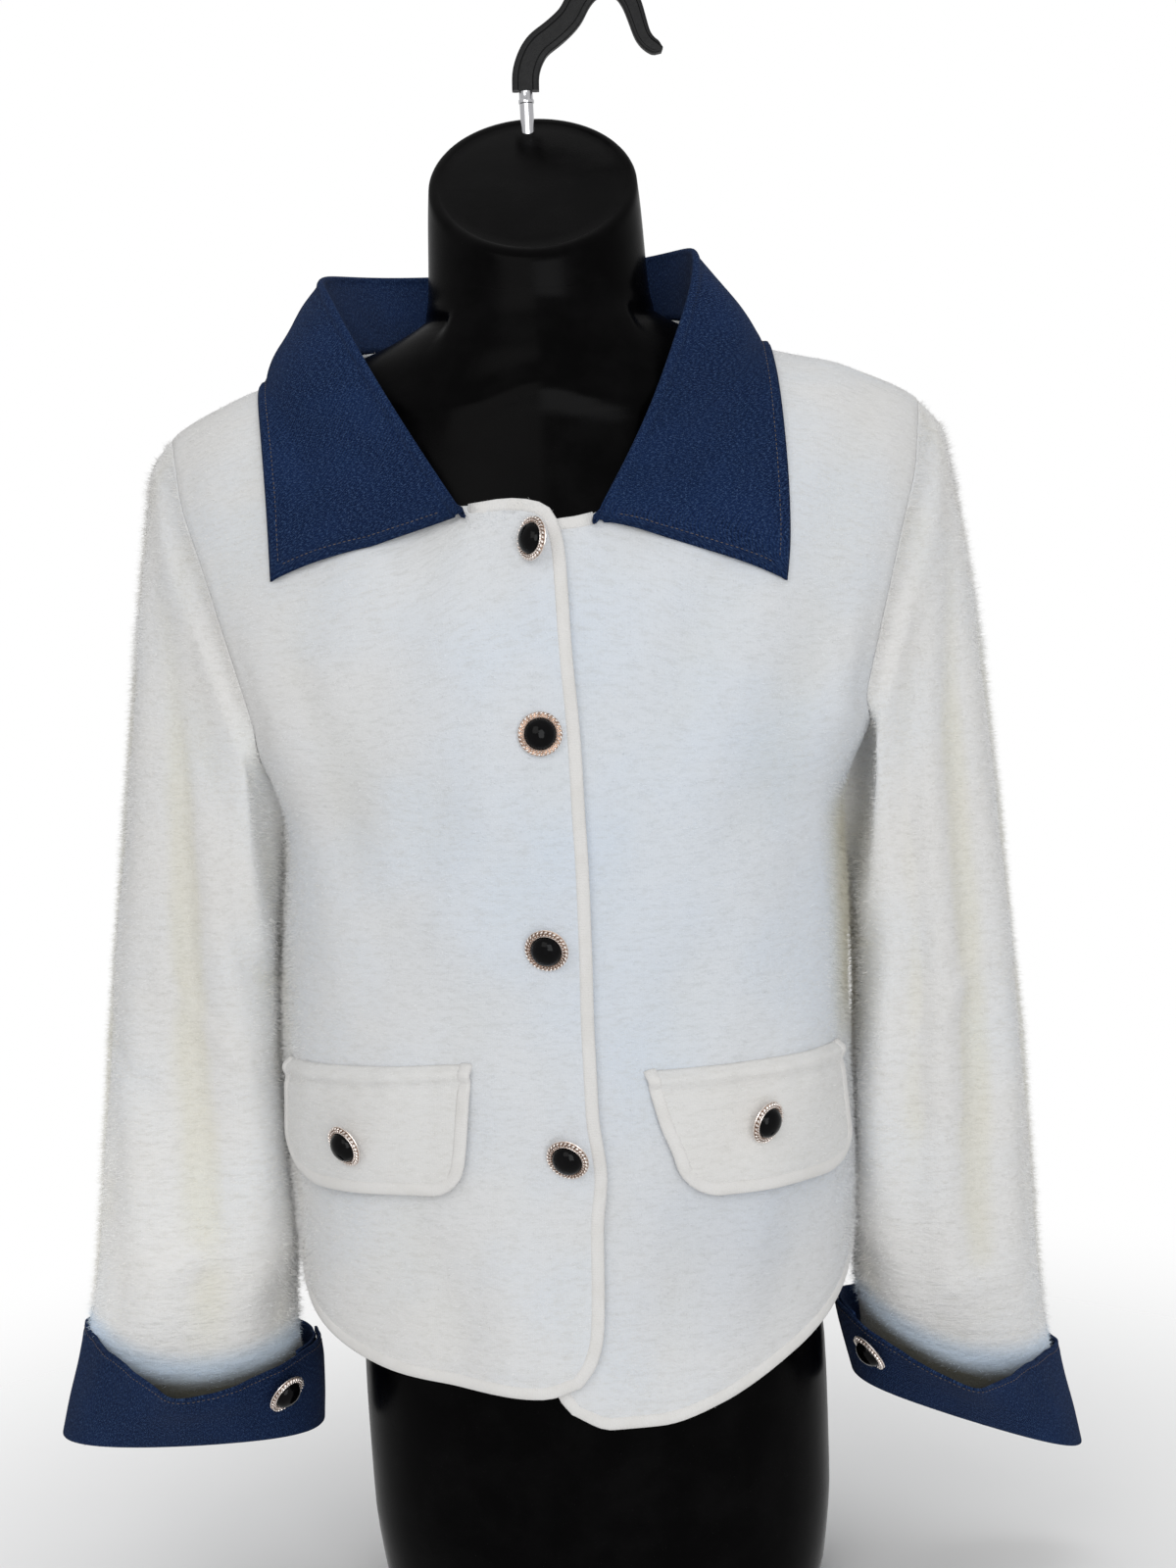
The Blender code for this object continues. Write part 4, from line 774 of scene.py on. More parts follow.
def frontPanel(side):
    word = sideWord[side]
    edge, neck = frontForm["edge" + word], frontForm["neck" + word]
    inner = surfaceChain(edge + neck)
    inner[-1] = (inner[-1][0], topRun)
    outer = sideChain(side, frontForm["armhole"])
    bottom = [inner[0]] + [(side * turn * quarterTurn, z) for turn, z in frontForm["hem" + word][1:]]
    bottom[-1] = outer[0]
    armpitShare, neckShare = shares(outer)[2], shares(inner)[len(edge) + 1]
    place = patch(pathOf(inner), pathOf(outer), pathOf(bottom), pathOf([inner[-1], outer[-1]]))

    def point(u, v):
        u, v = np.broadcast_arrays(np.asarray(u, float), np.asarray(v, float))
        turn, run, x, z, wide, fromHem = panelAt(place, -1, u, v)
        bound = np.minimum(np.where(v < neckShare, u * wide, 1.0), fromHem) - seamForm["frontBound"]
        dip = seamForm["dip"] - 0.0004 * softStep((z - 0.575) / 0.045)  # shallower toward the shoulder
        out = panelOut(frontWave(x, z), (1 - u) * wide, topRun - run, bound, dip, 0.0004)
        if side == right:
            out = out + lapLift(x)
        return onBody(-1, turn, run, out), turn, run

    return {"point": point, "armpit": armpitShare, "neck": neckShare}


def meshGrid(us, vs):
    return np.meshgrid(us, vs, indexing="ij")


# the tints laid over the cloth are painted light and shade: a painted cool cast of light down the front, a
# painted grey shade low on the left front, painted warm shade in the fold hollows, painted light lifting the
# sleeves' shaded inner and outer sides, painted brown shade under the arms, and a painted blue reflection of
# the denim and a painted dark shadow where the sleeve ends go down into the cuffs
tints = {
    "cool": (0.92, 0.98, 1.06),
    "dusk": (0.88, 0.9, 0.935),
    "hollow": (0.975, 0.965, 0.895),
    "inner": (1.225, 1.225, 1.215),
    "outer": (1.075, 1.08, 1.085),
    "armpit": (0.8, 0.74, 0.57),
    "cuffBlueReflection": (0.74, 0.86, 1.0),
    "cuffPocketShadow": (0.15, 0.125, 0.085),
}


def tinted(laid):
    # plain cloth with the named tints laid over it in turn
    total = np.ones((*np.shape(next(iter(laid.values()))), 3))
    for name, share in laid.items():
        share = np.clip(share, 0, 1)[..., None]
        total = total * (1 - share) + total * np.array(tints[name]) * share
    return total


def bodyTint(points, wave, side):
    # painted light and shade: a painted cool cast of light down the middle, painted warm shade in the
    # hollows, a painted grey shade low on the left front below its flap, and brown painted shade where the
    # arm shades the side
    x, z = points[..., 0], points[..., 2]
    cool = np.exp(-(((x - 0.035) / 0.135) ** 2) - ((z - 0.43) / 0.2) ** 2)
    dusk = np.exp(-(((x - 0.075) / 0.06) ** 2) - ((z - 0.215) / 0.055) ** 2) * (0.9 if side == left else 0.0)
    armpit = softStep((np.abs(x + 0.0065) - 0.14) / 0.014)
    armpit = armpit * softStep((z - 0.29) / 0.06) * softStep((0.455 - z) / 0.03)
    armpit = armpit * (0.8 if side == left else 0.1)
    return tinted({"cool": cool, "dusk": dusk, "hollow": -wave / 0.012, "armpit": armpit})


def bodyShag(points):
    # longest fibres down the sides, where the brushing never lies flat, and by the neck edges
    x, y, z = np.moveaxis(points, -1, 0)
    sides = softStep((np.abs(x + 0.0065) - 0.134) / 0.018) * softStep((0.47 - z) / 0.04)
    neck = bell(z - 0.606, 0.012) * bell(x + 0.01, 0.05) * 0.8
    return np.maximum(sides, neck * (y < 0))


def edgeStrip(name, edges, intos, normals, nodes, reach=0.0054):
    # a soft crowned strip folded over an edge
    wall = bodyForm["wall"]
    under = -wall - 0.0009
    profile = (
        (reach + 0.0005, -0.0005), (reach + 0.0002, 0.00025), (reach - 0.0007, 0.0006),
        (reach - 0.002, 0.00078), (reach - 0.0036, 0.00082), (0.001, 0.00074), (0.0, 0.00044),
        (-0.0008, 0.0), (-0.0011, -0.0008), (-0.0008, -wall - 0.0002), (0.0, under + 0.0002),
        (0.0014, under), (reach - 0.0015, under), (reach - 0.0002, under + 0.0003), (reach, -wall - 0.0002),
        (-0.0003, -wall - 0.0001), (-0.0003, -0.0001), (reach + 0.0005, -0.0005),
    )
    count = len(edges)
    steps = runAlong(edges)
    puff = 1 + 0.1 * np.sin(steps * 310 + 0.7) + 0.08 * np.sin(steps * 127 + 2.0)
    rings = np.empty((len(profile), count, 3))
    flat = np.empty((len(profile), count, 2))
    for k, (inward, up) in enumerate(profile):
        high = up * np.where(up > 0.0005, puff, 1.0)
        rings[k] = edges + intos * inward + normals * np.reshape(high, (-1, 1))
        flat[k] = np.stack((steps, np.full(count, k * 0.0012)), axis=-1)
    data = sheetMesh(name, rings, flat, closed=True, caps=True)
    addPiece(name, data, looks["edge"], nodes)


def edgeFrame(edges, normals, inward, smooth=4):
    # the way into the cloth at each place of an edge, evened out along it
    along = np.gradient(edges, axis=0)
    kernel = np.ones(2 * smooth + 1) / (2 * smooth + 1)
    padded = np.pad(along, ((smooth, smooth), (0, 0)), "edge")
    along = np.stack([np.convolve(padded[:, k], kernel, "valid") for k in range(3)], axis=-1)
    intos = unit(np.cross(normals, unit(along)))
    if (intos * inward).sum() < 0:
        intos = -intos
    return intos


fronts = {}
for side, word in bothSides:
    panel = frontPanel(side)
    us, vs = (spread(*stretches) for stretches in frontForm["steps"])
    vs[np.argmin(np.abs(vs - panel["neck"]))] = panel["neck"]
    u, v = meshGrid(us, vs)
    points, turn, run = panel["point"](u, v)
    flat = np.stack((turn * perTurn, run), axis=-1)
    tint = bodyTint(points, frontWave(points[..., 0], points[..., 2]), side)
    panel.update(points=points, normals=gridNormals(points, side), tint=tint, shaggy=bodyShag(points))
    fronts[side] = panel
    addKnit("knitFront" + word, "front_" + word.lower(), points, flat, "knitBody", side, tint)
    below = vs < panel["neck"] + (0.001 if side == left else -0.004)
    edges = np.concatenate((points[0, below][:0:-1], points[:, 0]))
    normals = np.concatenate((panel["normals"][0, below][:0:-1], panel["normals"][:, 0]))
    inward = np.concatenate((points[3, below][:0:-1], points[:, 3])) - edges
    intos = edgeFrame(edges, normals, inward)
    edgeStrip("knitEdgeFront" + word, edges, intos, normals, ("binding_front_" + word.lower(),))
print("fronts made")


# back
backForm = {
    "hem": ((0.0, 0.15), (0.3, 0.153), (0.55, 0.166), (0.78, 0.188), (1.0, 0.203)),
    "armhole": (
        (0.158, 0.46), (0.169, 0.5), (0.184, 0.545), (0.194, 0.586), (0.202, 0.623), (0.2065, 0.6515),
    ),
    "neck": (
        (-0.102, 0.6955), (-0.08, 0.699), (-0.05, 0.703), (-0.013, 0.7045), (0.025, 0.7045), (0.056, 0.704),
        (0.08, 0.704),
    ),
    "folds": (
        (((-0.15, 0.56), (-0.125, 0.48), (-0.112, 0.39), (-0.11, 0.3)), 0.018, 0.0049, 0.2),
        (((-0.118, 0.59), (-0.09, 0.5), (-0.082, 0.42)), 0.02, -0.0038, -0.2),
        (((-0.06, 0.64), (-0.045, 0.54), (-0.04, 0.43), (-0.036, 0.25)), 0.019, 0.0032, 0.2),
        (((0.01, 0.66), (0.008, 0.52), (0.014, 0.36), (0.012, 0.16)), 0.024, -0.0038, 0.1),
        (((0.062, 0.64), (0.052, 0.52), (0.05, 0.4), (0.058, 0.24)), 0.02, 0.0036, -0.2),
        (((0.12, 0.585), (0.096, 0.5), (0.09, 0.4)), 0.017, -0.0035, 0.2),
        (((0.152, 0.56), (0.128, 0.47), (0.12, 0.38), (0.122, 0.29)), 0.018, 0.0052, -0.2),
        (((-0.09, 0.3), (-0.082, 0.23), (-0.08, 0.165)), 0.018, -0.0038, 0.1),
        (((0.094, 0.29), (0.09, 0.23), (0.086, 0.168)), 0.017, -0.0035, 0.0),
        (((-0.13, 0.33), (-0.04, 0.318), (0.05, 0.326), (0.13, 0.342)), 0.026, -0.0023, 0.1),
    ),
    "steps": ((0.04, 5), (0.96, 66), (1.0, 5)),
    "rows": ((0.03, 8), (0.97, 126), (1.0, 6)),
}


def backPanel():
    low, high = (sideChain(side, backForm["armhole"]) for side in (right, left))
    bottom = [(-turn * quarterTurn, z) for turn, z in reversed(backForm["hem"])]
    bottom += [(turn * quarterTurn, z) for turn, z in backForm["hem"][1:]]
    neck = surfaceChain(backForm["neck"])
    neck[0], neck[-1] = (neck[0][0], topRun), (neck[-1][0], topRun)
    top = np.array([low[-1]] + neck + [high[-1]])
    marks = shares(top)

    def topEdge(u):
        return np.stack((np.interp(u, marks, top[:, 0]), np.interp(u, marks, top[:, 1])), axis=-1)

    place = patch(pathOf(low), pathOf(high), pathOf(bottom), topEdge)

    def point(u, v):
        u, v = np.broadcast_arrays(np.asarray(u, float), np.asarray(v, float))
        turn, run, x, z, wide, fromHem = panelAt(place, 1, u, v)
        wave = foldField(x, z, backForm["folds"]) + 0.001 * np.sin(x * 66 + 0.8) * np.sin(z * 21 + 1.0)
        fromSeam = np.minimum(u, 1 - u) * wide
        out = panelOut(wave, fromSeam, topRun - run, fromHem - seamForm["backBound"], seamForm["dip"], 0.0005)
        return onBody(1, turn, run, out), turn, run

    return {"point": point, "armpit": shares(low)[2], "marks": marks}


back = backPanel()
us, vs = spread(*backForm["steps"]), spread(*backForm["rows"])
u, v = meshGrid(us, vs)
points, turn, run = back["point"](u, v)
flat = np.stack((turn * perTurn, run), axis=-1)
tint = bodyTint(points, foldField(points[..., 0], points[..., 2], backForm["folds"]), right)
back.update(points=points, normals=gridNormals(points, -1), tint=tint, shaggy=bodyShag(points))
addKnit("knitBack", "back", points, flat, "knitBody", -1, tint)
edges, normals = points[:, 0], back["normals"][:, 0]
intos = edgeFrame(edges, normals, points[:, 3] - edges)
edgeStrip("knitEdgeBack", edges, intos, normals, ("binding_back",))
print("back made")


# sleeves
sleeveForm = {
    "columns": ("along", "outX", "outZ", "inX", "inZ", "front", "back", "middle"),
    "right": (
        (0.0, 0.2066, 0.6515, 0.149, 0.4255, 0.055, 0.053, 0.0),
        (0.06, 0.2182, 0.633, 0.155, 0.415, 0.054, 0.053, 0.0),
        (0.13, 0.2254, 0.594, 0.159, 0.403, 0.052, 0.051, 0.0),
        (0.22, 0.2324, 0.5455, 0.1625, 0.386, 0.05, 0.049, -0.001),
        (0.31, 0.2387, 0.499, 0.1645, 0.368, 0.048, 0.047, -0.002),
        (0.42, 0.2471, 0.44, 0.1652, 0.342, 0.047, 0.045, -0.002),
        (0.53, 0.2562, 0.379, 0.1652, 0.312, 0.046, 0.043, -0.002),
        (0.66, 0.2655, 0.307, 0.1645, 0.265, 0.045, 0.041, -0.002),
        (0.78, 0.2725, 0.242, 0.1645, 0.216, 0.044, 0.04, -0.002),
        (0.89, 0.281, 0.18, 0.1685, 0.169, 0.044, 0.04, -0.002),
        (0.95, 0.29, 0.143, 0.166, 0.142, 0.044, 0.041, -0.002),
        (1.0, 0.302, 0.1025, 0.162, 0.1105, 0.044, 0.042, -0.002),
    ),
    "left": (
        (0.0, 0.2066, 0.6515, 0.149, 0.4255, 0.055, 0.053, 0.0),
        (0.06, 0.219, 0.632, 0.153, 0.415, 0.054, 0.053, 0.0),
        (0.13, 0.2262, 0.592, 0.1552, 0.403, 0.052, 0.051, 0.0),
        (0.22, 0.2318, 0.545, 0.1555, 0.386, 0.05, 0.049, -0.001),
        (0.31, 0.2358, 0.5, 0.1572, 0.368, 0.048, 0.047, -0.002),
        (0.42, 0.2407, 0.433, 0.1578, 0.342, 0.047, 0.045, -0.002),
        (0.53, 0.2452, 0.364, 0.1556, 0.311, 0.046, 0.043, -0.002),
        (0.66, 0.25, 0.283, 0.1515, 0.262, 0.045, 0.041, -0.002),
        (0.78, 0.2515, 0.212, 0.1505, 0.213, 0.044, 0.04, -0.002),
        (0.89, 0.254, 0.147, 0.15, 0.172, 0.043, 0.039, -0.002),
        (0.95, 0.26, 0.109, 0.151, 0.145, 0.042, 0.039, -0.002),
        (1.0, 0.27, 0.07, 0.1515, 0.116, 0.042, 0.04, -0.002),
    ),
    # start, end round it in degrees (0 outer, 90 front, 180 inner), from, to along it, spread, height
    "foldsRight": (
        (104, 133, 0.19, 0.88, 14, 0.005),
        (36, 68, 0.1, 0.98, 17, 0.0044),
        (75, 108, 0.1, 0.93, 12, -0.0058),
        (14, 2, 0.2, 0.9, 11, -0.003),
        (338, 326, 0.16, 0.96, 13, 0.0036),
        (292, 262, 0.12, 0.92, 22, 0.005),
        (236, 222, 0.2, 0.8, 16, -0.0035),
    ),
    "foldsLeft": (
        (90, 98, 0.12, 0.92, 14, 0.0042),
        (66, 77, 0.14, 0.93, 13, -0.0052),
        (38, 50, 0.1, 0.95, 13, 0.0036),
        (106, 113, 0.16, 0.84, 9, -0.003),
        (122, 134, 0.16, 0.86, 12, 0.0036),
        (12, 4, 0.22, 0.88, 11, -0.0028),
        (342, 330, 0.16, 0.96, 13, 0.0034),
        (284, 256, 0.12, 0.94, 20, 0.005),
        (318, 300, 0.24, 0.85, 16, -0.003),
    ),
    # short slanting folds: start and end turn, start and end along, half width along, height
    "creasesRight": (
        (170, 110, 0.22, 0.32, 0.018, 0.0014),
        (176, 120, 0.32, 0.4, 0.016, -0.0012),
        (60, 130, 0.5, 0.56, 0.02, 0.002),
        (20, 80, 0.6, 0.66, 0.022, -0.002),
        (120, 60, 0.8, 0.86, 0.018, 0.0022),
        (200, 260, 0.48, 0.55, 0.02, 0.0031),
        (300, 240, 0.64, 0.7, 0.022, -0.0028),
        (330, 280, 0.3, 0.36, 0.022, 0.002),
    ),
    "creasesLeft": (
        (172, 105, 0.21, 0.3, 0.017, 0.0014),
        (178, 118, 0.31, 0.39, 0.016, -0.0013),
        (50, 120, 0.52, 0.58, 0.02, 0.002),
        (120, 60, 0.66, 0.72, 0.02, -0.0017),
        (40, 110, 0.84, 0.88, 0.018, 0.002),
        (210, 270, 0.46, 0.54, 0.02, 0.0031),
        (300, 250, 0.62, 0.7, 0.02, -0.0028),
        (330, 290, 0.28, 0.34, 0.022, 0.002),
    ),
    "square": 1.95,
    "boxy": 2.0,
    "blendUntil": 0.3,
    "leaveUntil": 0.085,
    "steps": (100, ((0.06, 9), (0.9, 116), (1.0, 18))),
    "reach": 0.052,  # metres round it for each radian
}


cuffForm = {
    "columns": ("up", "outX", "outZ", "inX", "inZ", "front", "back", "frontDrop"),
    "right": (
        (0.0, 0.3045, 0.103, 0.159, 0.101, 0.048, 0.046, -0.004),
        (0.35, 0.2995, 0.1225, 0.1578, 0.1205, 0.062, 0.049, 0.0),
        (0.7, 0.2932, 0.1445, 0.1576, 0.137, 0.075, 0.051, 0.008),
        (1.0, 0.2885, 0.1655, 0.159, 0.15, 0.085, 0.053, 0.014),
    ),
    "left": (
        (0.0, 0.2735, 0.0665, 0.148, 0.1125, 0.046, 0.044, -0.004),
        (0.35, 0.2695, 0.0865, 0.144, 0.129, 0.06, 0.047, 0.0),
        (0.7, 0.265, 0.106, 0.1405, 0.145, 0.074, 0.049, 0.007),
        (1.0, 0.2618, 0.1245, 0.1385, 0.157, 0.086, 0.051, 0.014),
    ),
    "square": 1.95,
    # how much more pointed the ring is at the top
    "pinchOuter": 0.66,
    "pinchInner": 0.25,
    "pinchBack": 0.4,
    "lap": 0.003,
    "frontEnd": 196,
    "backEnd": 160,
    "wall": 0.0014,
    "curl": 0.0017,
    "steps": 132,
    "rows": ((0.06, 3), (0.9, 18), (1.0, 5)),
    "stitchInset": 0.0034,
    "height": 0.062,
    "reach": 0.068,  # metres round it for each radian
}


def ringPoint(curves, key, side, degrees, square):
    # a point on a flattened ring between an outer and an inner line
    row = {name: curve(key) for name, curve in curves.items()}
    zero = np.zeros_like(row["outX"])
    outer = np.stack((side * row["outX"], zero, row["outZ"]), axis=-1)
    inner = np.stack((side * row["inX"], zero, row["inZ"]), axis=-1)
    ahead, across = rounded(np.radians(degrees), square)
    depth = np.where(ahead > 0, row["front"], row["back"])
    point = (outer + inner) / 2 + (outer - inner) / 2 * np.asarray(across)[..., None]
    point[..., 1] = row.get("middle", 0.0) - depth * ahead
    point[..., 2] -= row.get("frontDrop", 0.0) * np.maximum(ahead, 0.0) ** 2
    return point


def ringMiddle(curves, key, side, degrees):
    # halfway between a ring's outer and inner lines
    return sum(ringPoint(curves, key, side, np.full_like(degrees, turn), 2.0) for turn in (0.0, 180.0)) / 2


def sleeveTube(side):
    word = sideWord[side]
    curves = curvesOf(sleeveForm["columns"], sleeveForm[word.lower()])
    front = fronts[side]
    backEdge = 0.0 if side == right else 1.0

    def hole(degrees, frontEdge=1.0, rearEdge=backEdge):
        # the armhole's edge, or a line a little way back into the panels
        share = np.minimum(degrees, 360 - degrees) / 180
        before, behind = (
            panel["point"](edge, panel["armpit"] + (1 - panel["armpit"]) * (1 - share))[0]
            for panel, edge in ((front, frontEdge), (back, rearEdge))
        )
        return np.where((degrees <= 180)[..., None], before, behind)

    def heights(degrees, along):
        total = np.zeros(np.broadcast(degrees, along).shape)
        for start, end, begin, finish, width, high in sleeveForm["folds" + word]:
            share = np.clip((along - begin) / (finish - begin), 0, 1)
            away = (degrees - start - (end - start) * share + 180) % 360 - 180
            total = total + high * np.sin(math.pi * share) ** 0.7 * bell(away, width)
        for start, end, begin, finish, width, high in sleeveForm["creases" + word]:
            share = np.clip((degrees - start) / (end - start), 0, 1)
            ends = np.sin(math.pi * share)
            away = along - begin - (finish - begin) * share
            total = total + high * ends * bell(away, width)
        total = total + 0.0008 * np.sin(np.radians(degrees) * 7 + along * 9) * np.sin(along * 26 + 0.6)
        return total

    def squareAt(degrees, along):
        # the side by the body is boxier down to the cuff, as a flat hanging sleeve is
        share = np.minimum(degrees, 360 - degrees) / 180
        much = softStep((share - 0.35) / 0.4) * softStep((0.9 - along) / 0.22)
        return sleeveForm["square"] + sleeveForm["boxy"] * much

    def raw(degrees, along):
        square = squareAt(degrees, along)
        base = ringPoint(curves, along, side, degrees, square)
        middle = ringMiddle(curves, along, side, degrees)
        base = base + unit(base - middle) * heights(degrees, along)[..., None]
        keep = 1 - softStep(along / sleeveForm["blendUntil"])
        start = ringPoint(curves, np.zeros_like(along), side, degrees, square)
        return base + (hole(degrees) - start) * keep[..., None]

    def point(degrees, along):
        degrees, along = np.broadcast_arrays(np.asarray(degrees, float), np.asarray(along, float))
        spot = raw(degrees, along)
        seam = hole(degrees)
        share = np.minimum(degrees, 360 - degrees) / 180
        onward = unit(seam - hole(degrees, 0.96, abs(backEdge - 0.03)))
        own = unit(raw(degrees, np.full_like(along, 0.03)) - seam)
        much = np.clip((0.82 - share) / 0.22, 0, 1)[..., None]
        leaving = unit(own * (1 - much) + onward * much)
        gone = spot - seam
        far = np.linalg.norm(gone, axis=-1, keepdims=True)
        hold = (1 - softStep(along / sleeveForm["leaveUntil"]))[..., None]
        return spot + (leaving * far - gone) * hold

    return point, heights


def sleeveTint(points, degrees, along, heights, side):
    # painted light and shade: painted warm shade in the hollows, painted light lifting the shaded inner and
    # outer sides, a brown painted shade under the arm, and the end painted with a blue reflection of the
    # denim and then a dark painted shadow down into the cuff
    hollow = -heights / 0.003
    # painted light: the shaded inner side is lifted brighter, on the right also the lower sleeve all round at
    # half strength, and the outer side a little
    inner = bell(degrees - 180, 46)
    if side == right:
        inner = np.maximum(inner, 0.5 * softStep((along - 0.45) / 0.35))
    outer = bell((degrees + 180) % 360 - 180, 60) * softStep((along - 0.04) / 0.12)
    under = bell(degrees - 190, 18) * softStep(along / 0.1) * softStep((0.86 - along) / 0.2)
    curves = curvesOf(cuffForm["columns"], cuffForm[sideWord[side].lower()])
    edge = ringPoint(curves, np.ones_like(along), side, degrees, cuffForm["square"])
    above = points[..., 2] - edge[..., 2]
    # painted blue reflection of the denim, then painted dark shadow, just above the cuff's top edge
    blue = softStep((0.017 - above) / 0.014)
    dark = softStep((0.003 - above) / 0.01)
    return tinted({
        "hollow": hollow, "inner": inner, "outer": outer, "armpit": under * (0.62 if side == left else 0.15),
        "cuffBlueReflection": blue, "cuffPocketShadow": dark,
    })


sleeves = {}
for side, word in bothSides:
    tube, heights = sleeveTube(side)
    around = np.linspace(0, 360, sleeveForm["steps"][0] + 1)
    alongs = spread(*sleeveForm["steps"][1])
    degrees, along = meshGrid(around, alongs)
    points = tube(degrees, along)
    points[-1] = points[0]
    flat = np.stack((np.radians(degrees) * sleeveForm["reach"], points[..., 2]), axis=-1)
    normals = gridNormals(points, side)
    tint = sleeveTint(points, degrees, along, heights(degrees, along), side)
    outer = bell((degrees + 180) % 360 - 180, 34)
    inner = bell(degrees - 180, 30)
    shaggy = np.clip(outer + inner, 0, 1) * softStep(along / 0.06) * softStep((0.94 - along) / 0.05)
    shaggy = np.maximum(shaggy, 0.7 * bell(along, 0.02))
    sleeves[side] = {"points": points, "normals": normals, "tint": tint, "shaggy": shaggy}
    node = "sleeve_" + word.lower()
    addKnit("knitSleeve" + word, node, points, flat, "knitSleeve", side, tint, closed=True)
print("sleeves made")


# turned-back cuffs
def cuffBand(side):
    curves = curvesOf(cuffForm["columns"], cuffForm[sideWord[side].lower()])

    def point(degrees, up, out=0.0):
        degrees, up = np.broadcast_arrays(np.asarray(degrees, float) % 360, np.asarray(up, float))
        ahead, across = np.sin(np.radians(degrees)), np.cos(np.radians(degrees))
        outside = softStep((across + 0.3) / 0.6)
        pinch = cuffForm["pinchInner"] * (1 - outside) + cuffForm["pinchOuter"] * outside
        square = cuffForm["square"] - pinch * up * np.where(ahead > 0, 1.0, cuffForm["pinchBack"])
        spot = ringPoint(curves, up, side, degrees, square)
        return spot + unit(spot - ringMiddle(curves, up, side, degrees)) * np.asarray(out)[..., None]

    return point


def cuffLift(degrees):
    return cuffForm["lap"] * softStep((degrees - 110) / 50)


cuffs = {}
for side, word in bothSides:
    band = cuffBand(side)
    around = np.linspace(cuffForm["backEnd"] - 360, cuffForm["frontEnd"], cuffForm["steps"] + 1)
    ups = spread(*cuffForm["rows"])
    degrees, up = meshGrid(around, ups)
    angle = np.radians(degrees)
    wave = 0.0008 * np.sin(angle * 5 + side) * up + 0.0005 * np.sin(angle * 13) * up
    fromTop = (1 - up) * cuffForm["height"]
    sewn = -0.0004 * bell(fromTop - cuffForm["stitchInset"], 0.0012)
    ripple = 0.00022 * np.sin(angle * 90) * bell(fromTop - 0.003, 0.004)
    points = band(degrees, up, cuffLift(degrees) + wave + sewn + ripple)
    # the fold at the bottom curls in under the sleeve's end
    low = points[:, :1]
    down = unit(low - points[:, 1:2])
    inward = unit(band(degrees[:, :1], up[:, :1], -0.01) - band(degrees[:, :1], up[:, :1]))
    curl = [
        low + inward * cuffForm["curl"] * (1 - math.cos(a)) + down * cuffForm["curl"] * math.sin(a)
        for a in np.radians((150, 120, 90, 60, 30))
    ]
    points = np.concatenate(curl + [points], axis=1)
    length = runAlong(points, 1)
    width = np.radians(around)[:, None] * cuffForm["reach"]
    flat = np.stack((np.broadcast_to(width, length.shape), length), axis=-1)
    cuffs[side] = {"points": points, "normals": gridNormals(points, -side), "band": band}
    node = "cuff_" + word.lower()
    addSheet("denimCuff" + word, node, points, flat, "denim", -side, cuffForm["wall"])
print("cuffs made")


# collar
collarForm = {
    "columns": ("station", "rollX", "rollY", "rollZ", "edgeX", "edgeY", "edgeZ", "puff"),
    "rows": (
        (-0.045, -0.105, 0.6035, -0.1474, -0.08, 0.573, 0.0),
        (-0.0515, -0.1015, 0.614, -0.1478, -0.0745, 0.589, 0.001),
        (-0.063, -0.094, 0.633, -0.149, -0.064, 0.614, 0.003),
        (-0.081, -0.077, 0.664, -0.152, -0.045, 0.644, 0.005),
        (-0.0985, -0.056, 0.6965, -0.155, -0.023, 0.669, 0.006),
        (-0.1135, -0.028, 0.727, -0.1555, 0.0, 0.6805, 0.006),
        (-0.1205, 0.004, 0.7415, -0.152, 0.028, 0.679, 0.006),
        (-0.115, 0.033, 0.7465, -0.141, 0.054, 0.673, 0.006),
        (-0.0905, 0.061, 0.748, -0.112, 0.076, 0.669, 0.006),
        (-0.056, 0.076, 0.749, -0.07, 0.088, 0.668, 0.006),
        (-0.018, 0.0815, 0.7495, -0.02, 0.0925, 0.668, 0.006),
        (0.02, 0.077, 0.75, 0.028, 0.0905, 0.668, 0.006),
        (0.052, 0.062, 0.7505, 0.072, 0.083, 0.669, 0.006),
        (0.0775, 0.038, 0.751, 0.105, 0.064, 0.672, 0.006),
        (0.0875, 0.006, 0.748, 0.1215, 0.036, 0.679, 0.006),
        (0.086, -0.025, 0.73, 0.1255, 0.005, 0.686, 0.006),
        (0.0735, -0.053, 0.694, 0.125, -0.023, 0.6755, 0.006),
        (0.059, -0.076, 0.659, 0.1262, -0.047, 0.652, 0.005),
        (0.0435, -0.0925, 0.629, 0.1265, -0.069, 0.618, 0.003),
        (0.0305, -0.101, 0.607, 0.125, -0.0815, 0.575, 0.001),
        (0.025, -0.1035, 0.5965, 0.1215, -0.0875, 0.5525, 0.0),
    ),
    "gap": 0.0012,
    "roll": 0.003,
    "off": 0.0038,
    "parts": (0.285, 0.71),  # where the right, back and left stretches meet
    "wall": 0.0016,
    "widthRow": 40,  # the row that its width is measured along
    # shares down each column: the stand, the roll, the leaf and its edge
    "rollFrom": 0.34,
    "rollUntil": 0.46,
    "downs": ((0.34, 12), (0.46, 16), (0.94, 26), (1.0, 6)),
    "steps": (44, 46, 46),
    "stitchInset": 0.0062,
}


def clearOfBody(spots, out):
    # pushes points out until they lie off the jacket's shoulders, fronts and back
    x, y, z = np.moveaxis(spots, -1, 0)
    rise = (z - roofStart) / (ridge(x) + out - roofStart)
    level = roofLevel(np.clip(rise, 0, 1))
    half = bodyCurves["half"](level) + out
    share = np.clip(np.abs(x - bodyCurves["centre"](level)) / half, 0, 1)
    ahead = depthAt(share, bodyForm["square"])
    deep = np.where(y < 0, bodyCurves["front"](level), bodyCurves["back"](level)) + out
    depth = np.abs(y) / np.maximum(deep * ahead, 0.001)
    square = bodyForm["roofSquare"]
    size = (np.maximum(rise, 0) ** square + depth**square) ** (1 / square)
    push = np.where((size < 1) & (z > roofStart), size, 1.0)
    return np.stack((x, y / push, roofStart + (z - roofStart) / push), axis=-1)


